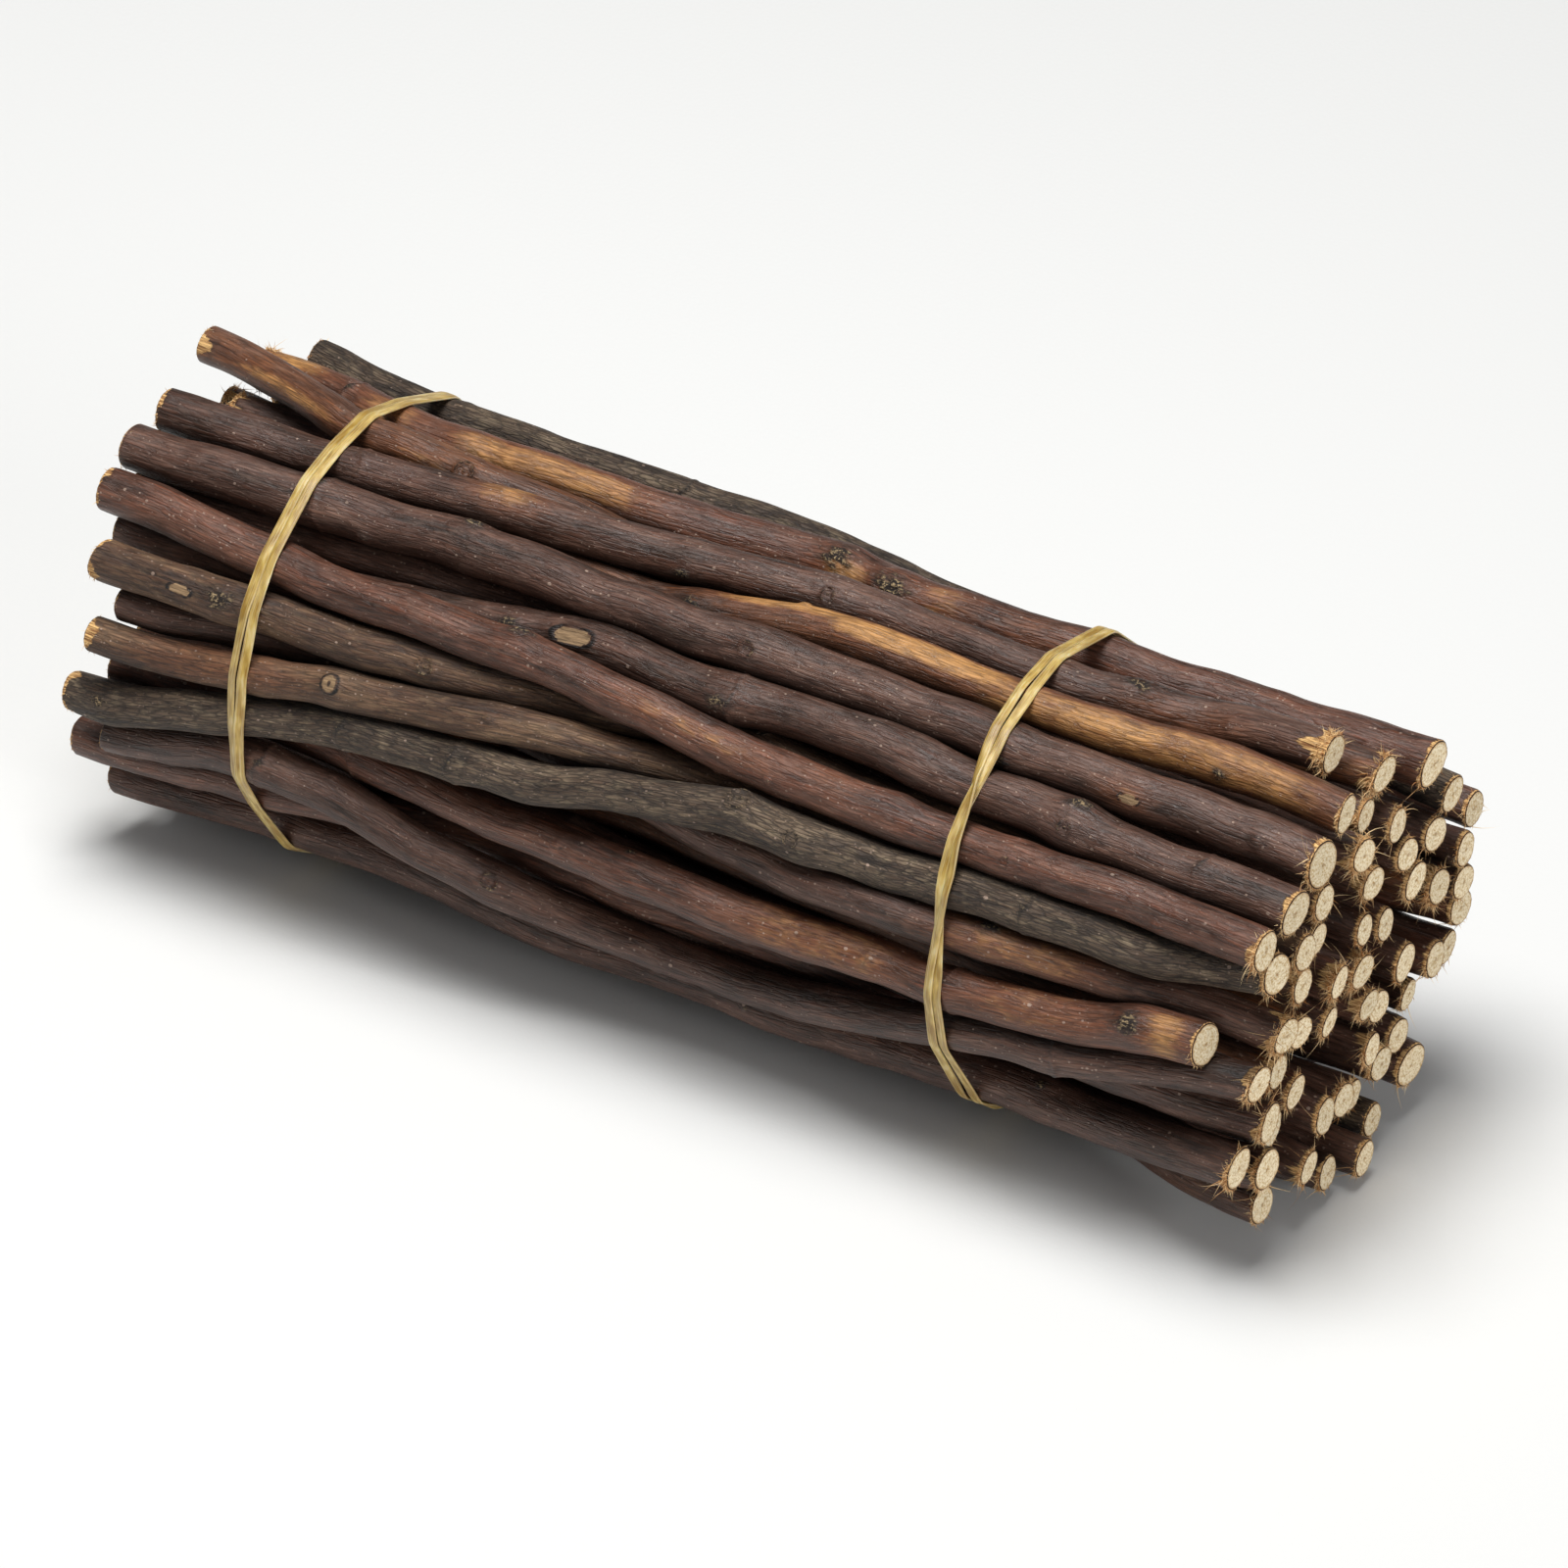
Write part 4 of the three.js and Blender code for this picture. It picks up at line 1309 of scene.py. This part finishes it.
    def paint_gap_shade(self, others: list["Twig"]) -> None:
        """Darkens the bark and the cut faces with painted shade in the narrow gaps beside other
        twigs.

        Args:
            others: all the twigs of the bundle.
        """
        gap = np.full(len(self.surface), GAP_SHADE_REACH_MM)
        for other in others:
            if other is self:
                continue
            middle = other.middle_at(self.surface[:, 0])
            away = np.hypot(*(self.surface[:, 1:] - middle[:, 1:]).T)
            radius = np.interp(self.surface[:, 0], other.table_x, other.table_radius)
            gap = np.minimum(gap, away - radius)
        at_cut = self.blank.out < CUT_SHARE
        # painted shade: the narrower the gap to a neighbouring twig, the darker the bark and the
        # cut face
        unshaded_share = ease(0.0, np.where(at_cut, CUT_GAP_SHADE_REACH_MM, GAP_SHADE_REACH_MM), gap)
        darkest_share = np.where(at_cut, DARKEST_SHADED_CUT, DARKEST_SHADED_BARK)
        unshaded_share = darkest_share + (1.0 - darkest_share) * unshaded_share
        tint = np.ones(len(self.piece.data.vertices), np.float32)
        tint[:len(unshaded_share)] = self.tint * unshaded_share
        self.piece.data.attributes["tint"].data.foreach_set("value", tint)

    def middle_at(self, x_mm: np.ndarray) -> np.ndarray:
        """The twig's middle line at places along it."""
        return self._read(self.table_middle, x_mm)

    def _end_shift(self, x_mm: np.ndarray, heading: np.ndarray, offset: np.ndarray) -> np.ndarray:
        """Slants the twig's ends as they were sawn, rounds their rims and roughens the cuts.

        Args:
            x_mm: where each point is along the twig.
            heading: the twig's direction there.
            offset: from the twig's middle to the point.

        Returns:
            How far each point is moved along the twig.
        """
        shift = np.zeros_like(x_mm)
        rim = ease(0.955, 1.0, self.blank.out)
        wool = 0.10 * self.dice.standard_normal(len(x_mm)) * ease(1.0, 0.9, self.blank.out)
        for end, sign, normal in (
            (self.table_x[0], -1.0, self.course.end_normals[0]),
            (self.table_x[-1], 1.0, self.course.end_normals[1]),
        ):
            near = ease(14.0, 0.0, np.abs(x_mm - end))
            at_end = ease(0.02, 0.0, np.abs(x_mm - end))
            shift -= near * (offset @ normal) / (heading @ normal)
            shift += sign * at_end * (wool - 0.16 * rim)
        return shift

    def _make_piece(
        self, x_mm: np.ndarray, angle: np.ndarray, radius: np.ndarray, marks: dict[str, np.ndarray]
    ) -> None:
        """Copies the blank, moves its points to the twig's surface and stores its attributes.

        Args:
            x_mm: where each point is along the twig.
            angle: its angle round the twig.
            radius: its distance from the middle line.
            marks: the strength of each mark at every point.
        """
        mesh = self.blank.mesh.copy()
        mesh.name = f"{self.node}_bark"
        mesh.vertices.foreach_set("co", (self.surface * MM).astype(np.float32).ravel())
        at_cut, near = self.blank.out < CUT_SHARE, x_mm > 0
        drift = 40.0 * self.number
        girth = np.cos(angle) * radius * self.blank.out
        depth = np.sin(angle) * radius * self.blank.out
        cut_grain = np.where(near, 0.0, 17.0) + 9.0 * self.number
        store(mesh, "rest", np.stack([x_mm + drift, girth + drift, depth], axis=1))
        store(mesh, "cut", np.stack([girth, depth, cut_grain], axis=1))
        store(mesh, "edge", self.blank.out)
        # painted shade: the bark darkens from the side round to the underside, away from the light
        # above
        under = ease(math.radians(70), math.radians(150), np.abs(angle))
        self.tint = self.look.tint * (1.0 - PAINTED_UNDERSIDE_SHADE * under)
        self.tint[at_cut] = np.where(near, 0.82 + 0.2 * self.dice.random(), 0.9)[at_cut]
        store(mesh, "tint", self.tint)
        store(mesh, "hue", np.zeros_like(x_mm))
        for mark, strength in marks.items():
            store(mesh, mark, strength)
        corners = np.empty(len(mesh.loops), np.int32)
        mesh.loops.foreach_get("vertex_index", corners)
        starts = np.empty(len(mesh.polygons), np.int32)
        mesh.polygons.foreach_get("loop_start", starts)
        is_cut = np.add.reduceat(at_cut[corners].astype(int), starts) > 0
        mesh.polygons.foreach_set("material_index", is_cut.astype(np.int32))
        for material in self.materials:
            mesh.materials.append(material)
        mesh.update()
        self.piece = add_object(f"{self.node}_finished", mesh)

    def _add_fringes(self) -> None:
        """Joins the loose fibres of both ends to the twig and smooths its side."""
        bpy.ops.object.select_all(action="DESELECT")
        self.piece.select_set(True)
        bpy.context.view_layer.objects.active = self.piece
        bpy.ops.object.shade_smooth_by_angle(angle=math.radians(50.0))
        tufts = [
            self._fringe(self.look.near, self.table_x[-1], self.course.end_normals[1], 1.0),
            self._fringe(self.look.far, self.table_x[0], self.course.end_normals[0], -1.0),
        ]
        for points, faces, hues in tufts:
            mesh = bpy.data.meshes.new(f"{self.node}_fringe")
            mesh.from_pydata((points * MM).tolist(), [], faces)
            store(mesh, "hue", hues)
            mesh.materials.append(self.materials[2])
            add_object(mesh.name, mesh).select_set(True)
        bpy.ops.object.join()

    def _fringe(
        self, fray: Fray, end_mm: float, normal: np.ndarray, sign: float
    ) -> tuple[np.ndarray, list[tuple[int, ...]], np.ndarray]:
        """Grows the fibres of one end from its rim.

        Args:
            fray: how the saw left that end.
            end_mm: where the end is along the twig.
            normal: the cut face's normal, towards +X.
            sign: 1 for the near end and -1 for the far one.

        Returns:
            The fibres' points, their faces, and a shade of straw for each point.
        """
        dice, count = self.dice, fray.hairs + fray.whiskers
        turns = np.clip(0.5 * dice.standard_normal(count), -1.0, 1.0) * fray.half_turn
        angle = np.radians(fray.clock + turns)
        inward_mm = np.abs(0.25 * dice.standard_normal(count))
        inward_mm += fray.torn_mm * 0.5 * dice.random(count) ** 2
        at = np.full(count, end_mm)
        middle = self._read(self.table_middle, at)
        heading = unit(self._read(self.table_heading, at))
        spoke, around = spokes(heading, angle)
        offset = spoke * (np.interp(at, self.table_x, self.table_radius) - 0.3)[:, None]
        slant = -(offset @ normal) / (heading @ normal)
        roots = middle + offset + heading * (slant - sign * (0.15 + inward_mm))[:, None]
        lean = dice.standard_normal((3, count))
        ways = unit(
            spoke * (0.7 + 0.3 * lean[0])[:, None]
            + heading * (sign * (-0.1 + 0.55 * lean[1]))[:, None]
            + around * (0.5 * lean[2])[:, None]
        )
        length = fray.length_mm * (0.3 + np.minimum(dice.exponential(0.5, count), 1.5)) + 0.2
        length[fray.hairs:] = 2.5 + 3.5 * dice.random(fray.whiskers)
        curl = 0.30 * dice.standard_normal((count, 3))
        curl[:, 2] -= 0.15
        thick = HAIR_MM * (0.7 + 0.7 * dice.random(count))
        points, faces = self.thread.tuft(
            roots, ways * length[:, None], curl * length[:, None], thick
        )
        own = np.repeat(dice.normal(0.3, 0.3, count), len(self.thread.share))
        hues = np.clip(own + 0.45 * np.tile(self.thread.share, count), 0.0, 1.0)
        return points, faces, hues

    def dress(self) -> None:
        """Hands the piece to the frame in place of its solid."""
        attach(self.piece, BODY)
        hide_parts(self.node)


# ---- the bands ----

@dataclass(frozen=True)
class StrandCourse:
    """How one strand of a doubled band lies: its shift across, lift and roll at clock angles."""

    clocks: tuple[float, ...]
    across_mm: tuple[float, ...]
    lift_mm: tuple[float, ...]
    roll: tuple[float, ...]


@dataclass
class RubberBand:
    """A latex band that goes round the bundle twice: two flat strands side by side."""

    node: str
    strands: tuple[StrandCourse, StrandCourse]
    material: Material
    width_mm: float = 2.3
    thickness_mm: float = 0.62
    steps: int = 420
    around: int = 14
    piece: Object = field(init=False)

    def build(self, surfaces: np.ndarray) -> None:
        """Lays both strands tight round the twigs.

        Args:
            surfaces: the points of all the twigs' surfaces.
        """
        solid = point_coordinates(frame["nodes"][self.node].data) / MM
        basis = np.column_stack([np.ones(len(solid)), solid[:, 1], solid[:, 2]])
        plane = np.linalg.lstsq(basis, solid[:, 0], rcond=None)[0]
        off_plane = surfaces[:, 0] - (plane[0] + surfaces[:, 1:] @ plane[1:])
        under = surfaces[np.abs(off_plane) < self.width_mm + 0.6][:, 1:]
        outline = self._smooth_outline(self._hull(under))
        parts = []
        for strand in self.strands:
            bpy.ops.object.select_all(action="DESELECT")
            parts.append(self._strand(strand, outline, plane))
        for part in parts:
            part.select_set(True)
        bpy.context.view_layer.objects.active = parts[0]
        bpy.ops.object.join()
        self.piece = parts[0]
        self.piece.name = f"{self.node}_finished"
        self.piece.data.name = self.piece.name
        self.piece.data.materials.append(self.material)
        bpy.ops.object.shade_smooth()

    @staticmethod
    def _hull(points: np.ndarray) -> np.ndarray:
        """The corners of the tightest closed line round some points, turning left."""
        ordered = points[np.lexsort((points[:, 1], points[:, 0]))]

        def half(run: np.ndarray) -> list[np.ndarray]:
            """One half of the line, from the first point to the last."""
            chain: list[np.ndarray] = []
            for point in run:
                while len(chain) > 1:
                    one, two = chain[-1] - chain[-2], point - chain[-2]
                    if one[0] * two[1] - one[1] * two[0] > 0:
                        break
                    chain.pop()
                chain.append(point)
            return chain[:-1]

        return np.array(half(ordered) + half(ordered[::-1]))

    def _smooth_outline(self, corners: np.ndarray) -> np.ndarray:
        """Spreads even steps along the outline and takes the edge off its corners.

        Args:
            corners: the corners of the closed line that the band presses on.

        Returns:
            The line of the band's middle, which starts on top.
        """
        closed = np.vstack([corners, corners[:1]])
        run = np.concatenate([[0.0], np.cumsum(np.linalg.norm(np.diff(closed, axis=0), axis=1))])
        places = np.linspace(0.0, run[-1], 4 * self.steps, endpoint=False)
        line = np.stack([np.interp(places, run, closed[:, axis]) for axis in (0, 1)], axis=1)
        for _ in range(10):
            line = (np.roll(line, 1, axis=0) + 2 * line + np.roll(line, -1, axis=0)) / 4
        line = line + outward_of(line) * (0.5 * self.thickness_mm + 0.08)
        start = int(np.argmax(line[:, 1]))
        return np.roll(line, -start, axis=0)[::4]

    def _strand(
        self, course: StrandCourse, outline: np.ndarray, plane: np.ndarray
    ) -> Object:
        """Models one strand as a ring and lays it on its course.

        Args:
            course: how the strand lies beside its twin.
            outline: the line of the band's middle in the bundle's cross-section.
            plane: the band's slant, as x = plane[0] + plane[1] y + plane[2] z.

        Returns:
            The strand.
        """
        bpy.ops.mesh.primitive_torus_add(
            major_segments=self.steps, minor_segments=self.around,
            major_radius=1.0, minor_radius=0.25,
        )
        ring = bpy.context.active_object
        places = point_coordinates(ring.data)
        turn = np.arctan2(places[:, 1], places[:, 0]) % (2 * math.pi)
        section = np.arctan2(places[:, 2], np.hypot(places[:, 0], places[:, 1]) - 1.0)
        step = np.round(turn / (2 * math.pi) * self.steps).astype(int) % self.steps
        centre = outline.mean(axis=0)
        from_centre = outline - centre
        clocks = np.degrees(np.arctan2(-from_centre[:, 0], from_centre[:, 1])) % 360
        values = {
            name: np.interp(clocks, course.clocks, getattr(course, name), period=360)[step]
            for name in ("across_mm", "lift_mm", "roll")
        }
        half_width, half_thick = 0.5 * self.width_mm, 0.5 * self.thickness_mm
        wide, thick = (
            half * np.sign(part) * np.abs(part) ** CORNER_POWER
            for half, part in ((half_width, np.cos(section)), (half_thick, np.sin(section)))
        )
        roll = np.radians(values["roll"])
        x_shift = values["across_mm"] + wide * np.cos(roll) - thick * np.sin(roll)
        lift = values["lift_mm"] + wide * np.sin(roll) + thick * np.cos(roll)
        flat = outline[step] + outward_of(outline)[step] * lift[:, None]
        flat[:, 1] = np.maximum(flat[:, 1], 0.02)
        x_mm = plane[0] + flat @ plane[1:] + x_shift
        final = np.column_stack([x_mm, flat])
        ring.data.vertices.foreach_set("co", (final * MM).astype(np.float32).ravel())
        for polygon in ring.data.polygons:
            polygon.flip()
        ring.data.update()
        loop = 2 * math.pi * step / self.steps
        round_y = BAND_PATTERN_MM * np.cos(loop) + course.across_mm[0]
        round_z = BAND_PATTERN_MM * np.sin(loop)
        store(ring.data, "rest", np.column_stack([wide, round_y, round_z]))
        store(ring.data, "edge", np.abs(wide) / half_width)
        return ring

    def dress(self) -> None:
        """Hands the band to the frame in place of its solid."""
        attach(self.piece, BODY)
        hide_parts(self.node)


LEFT_CLOCKS = (0, 20, 40, 52, 66, 80, 95, 115, 135, 160, 200, 260, 320)
RIGHT_CLOCKS = (0, 12, 28, 36, 44, 60, 85, 105, 125, 140, 150, 165, 220, 300)
LEFT_STRANDS = (
    StrandCourse(
        LEFT_CLOCKS,
        (-0.95, -1.0, -1.05, -1.15, -1.35, -1.3, -0.9, -0.55, -0.8, -0.9, -1.0, -1.0, -1.0),
        (0, 0, 0, 0.1, 0, 0, 0, 0.1, 0, 0.2, 0, 0, 0),
        (0, 8, 0, -8, 22, 16, 30, 10, 25, 20, 0, 0, 5),
    ),
    StrandCourse(
        LEFT_CLOCKS,
        (1.0, 1.0, 1.0, 1.1, 1.3, 1.25, 0.8, 0.7, 0.9, 0.8, 1.0, 1.0, 1.0),
        (0.1, 0, 0.1, 0, 0.1, 0, 0.25, 0, 0.1, 0.1, 0, 0, 0),
        (0, -8, 5, 10, -22, -18, -35, 0, -20, -30, 0, 0, -5),
    ),
)
RIGHT_STRANDS = (
    StrandCourse(
        RIGHT_CLOCKS,
        (-1.35, -1.5, -1.2, -0.6, 0.6, 0.9, -0.9, -1.2, -1.6, -1.8, -0.9, 0.7, -1.0, -1.0),
        (0, 0, 0.1, 0.5, 0.5, 0.2, 0.3, 0.1, 0, 0, 0.3, 0.4, 0.1, 0),
        (0, 8, 0, 40, 55, 15, 20, 0, -10, 10, 45, 20, 0, 0),
    ),
    StrandCourse(
        RIGHT_CLOCKS,
        (1.1, 1.4, 1.1, 0.5, -0.5, -0.9, 0.9, 1.25, 1.8, 1.8, 0.8, -0.6, 1.0, 1.0),
        (0.1, 0, 0, 0, 0, 0.1, 0, 0, 0, 0, 0, 0, 0, 0.1),
        (0, -12, 5, -30, -15, 0, 0, 10, 0, -10, -20, 0, 0, 0),
    ),
)


# ---- the bundle ----

@dataclass
class Bundle:
    """All the twigs and both bands."""

    shown_count: int = 19
    side_count: int = 10
    total_count: int = 58
    twigs: list[Twig] = field(default_factory=list)

    def build(self) -> None:
        """Builds every twig, then lays the bands round them."""
        blanks = {
            "fine": Blank("blank_fine", 48, (9, 23)), "plain": Blank("blank_plain", 32, (9, 14)),
            "inner": Blank("blank_inner", 32, (5, 9)),
        }
        for blank in blanks.values():
            blank.model()
        thread = Thread()
        thread.model()
        barks = {bark: finish.material() for bark, finish in BARK_FINISHES.items()}
        wood, fibre = SawnWoodFinish().material(), BastFibreFinish().material()
        slots = {part["node"]: part["material_slot"] for part in frame["record"]["subparts"]}
        for number in range(1, self.total_count + 1):
            slot, look = slots[f"twig_{number:02d}"], self._look(number)
            bark = barks[look.bark or Bark(slot)]
            twig = Twig(
                number, look, blanks[self._grade(number)], thread, (bark, wood, fibre), slot
            )
            twig.build()
            twig.dress()
            self.twigs.append(twig)
            LOG.info("%s: %d faces", twig.piece.name, len(twig.piece.data.polygons))
        for twig in self.twigs:
            twig.paint_gap_shade(self.twigs)
        for blank in blanks.values():
            bpy.data.meshes.remove(blank.mesh)
        self._band_up()

    def _grade(self, number: int) -> str:
        """Chooses how finely a twig is cut up, by how much of it shows."""
        if number <= self.shown_count:
            return "fine"
        return "plain" if number <= self.shown_count + self.side_count else "inner"

    def _look(self, number: int) -> TwigLook:
        """The look of a twig: listed one by one where it shows, grown at random elsewhere."""
        dice = np.random.default_rng(SEED + number)
        look = SHOWN_LOOKS.get(number)
        if look is None:
            patches = ()
            if dice.random() < 0.4:
                start = -130 + 200 * dice.random()
                stop = start + 25 + 40 * dice.random()
                patches = (RubbedPatch(start, stop, 360 * dice.random()),)
            look = TwigLook(
                patches=patches, near=NEAR_ENDS.get(number, Fray(clock=90 + 40 * dice.random())),
                far=FAR_ENDS.get(number, TwigLook.far), tint=0.85 + 0.3 * dice.random(), taper=0.07,
                trim_mm=2.2 * dice.random(),
            )
        return look.with_growth(dice, 70.0 if number <= self.shown_count else 48.0)

    def _band_up(self) -> None:
        """Lays both bands round the finished twigs."""
        surfaces = np.vstack([twig.surface for twig in self.twigs])
        latex = LatexFinish().material()
        for node, strands in (
            ("rubber_band_left", LEFT_STRANDS), ("rubber_band_right", RIGHT_STRANDS),
        ):
            band = RubberBand(node, strands, latex)
            band.build(surfaces)
            band.dress()
            LOG.info("%s: %d faces", band.piece.name, len(band.piece.data.polygons))


# ---- the studio ----

@dataclass
class Studio:
    """A pale floor, soft lights from above and the side, and the camera."""

    azimuth: float = 32.4
    elevation: float = 34.8
    distance_m: float = 3.2
    lens_mm: float = 335.3
    aim_right_mm: float = 5.1       # the bundle's middle lies a little left of the view's
    aim_down_mm: float = 6.0        # and a little above it
    floor_m: float = 6.0
    middle: np.ndarray = field(init=False)

    def build(self) -> None:
        """Sets up the camera, the floor and the lights round the bundle's middle."""
        low, high = (np.array(corner) for corner in FRAME_BOX)
        self.middle = (low + high) / 2
        self._camera()
        self._floor()
        self._lights()
        self._film()

    def _camera(self) -> None:
        """Places the camera and aims it."""
        a, e = math.radians(self.azimuth), math.radians(self.elevation)
        back = np.array([math.sin(a) * math.cos(e), -math.cos(a) * math.cos(e), math.sin(e)])
        right = np.array([math.cos(a), math.sin(a), 0.0])
        above = np.cross(back, right)
        aim = self.middle + (right * self.aim_right_mm - above * self.aim_down_mm) * MM
        data = bpy.data.cameras.new("camera")
        data.lens = self.lens_mm
        data.sensor_width = 36.0
        data.clip_end = 30.0
        camera = add_object("camera", data)
        camera.location = aim + back * self.distance_m
        camera.rotation_euler = (Vector(back)).to_track_quat("Z", "Y").to_euler()
        bpy.context.scene.camera = camera

    def _floor(self) -> None:
        """Lays the pale floor."""
        bpy.ops.object.select_all(action="DESELECT")
        bpy.ops.mesh.primitive_plane_add(size=self.floor_m, location=(0.0, 0.0, 0.0))
        floor = bpy.context.active_object
        floor.name = "floor"
        floor.data.materials.append(PaperFinish().material())

    def _lights(self) -> None:
        """Hangs a large soft light above, a low one by the sawn ends and a pale sky."""
        for name, place, size_m, power_w in (
            ("soft_top", (-0.15, -0.15, 1.6), 0.9, 30.0),
            ("soft_ends", (2.3, -0.5, 0.6), 0.8, 25.0),
        ):
            data = bpy.data.lights.new(name, "AREA")
            data.energy = power_w
            data.size = size_m
            lamp = add_object(name, data)
            lamp.location = Vector(place)
            aim = Vector(self.middle) - lamp.location
            lamp.rotation_euler = aim.to_track_quat("-Z", "Y").to_euler()
        world = bpy.data.worlds.new("pale_sky")
        world.use_nodes = True
        background = world.node_tree.nodes["Background"]
        background.inputs["Color"].default_value = linear("#f4f6fa")
        background.inputs["Strength"].default_value = 0.12
        bpy.context.scene.world = world

    @staticmethod
    def _film() -> None:
        """Shows colours as they are, without a filmic curve."""
        bpy.context.scene.view_settings.view_transform = "Standard"


def main() -> None:
    """Builds the bundle and its studio."""
    logging.basicConfig(level=logging.INFO, format="%(message)s")
    Studio().build()
    Bundle().build()


if __name__ == "__main__":
    main()
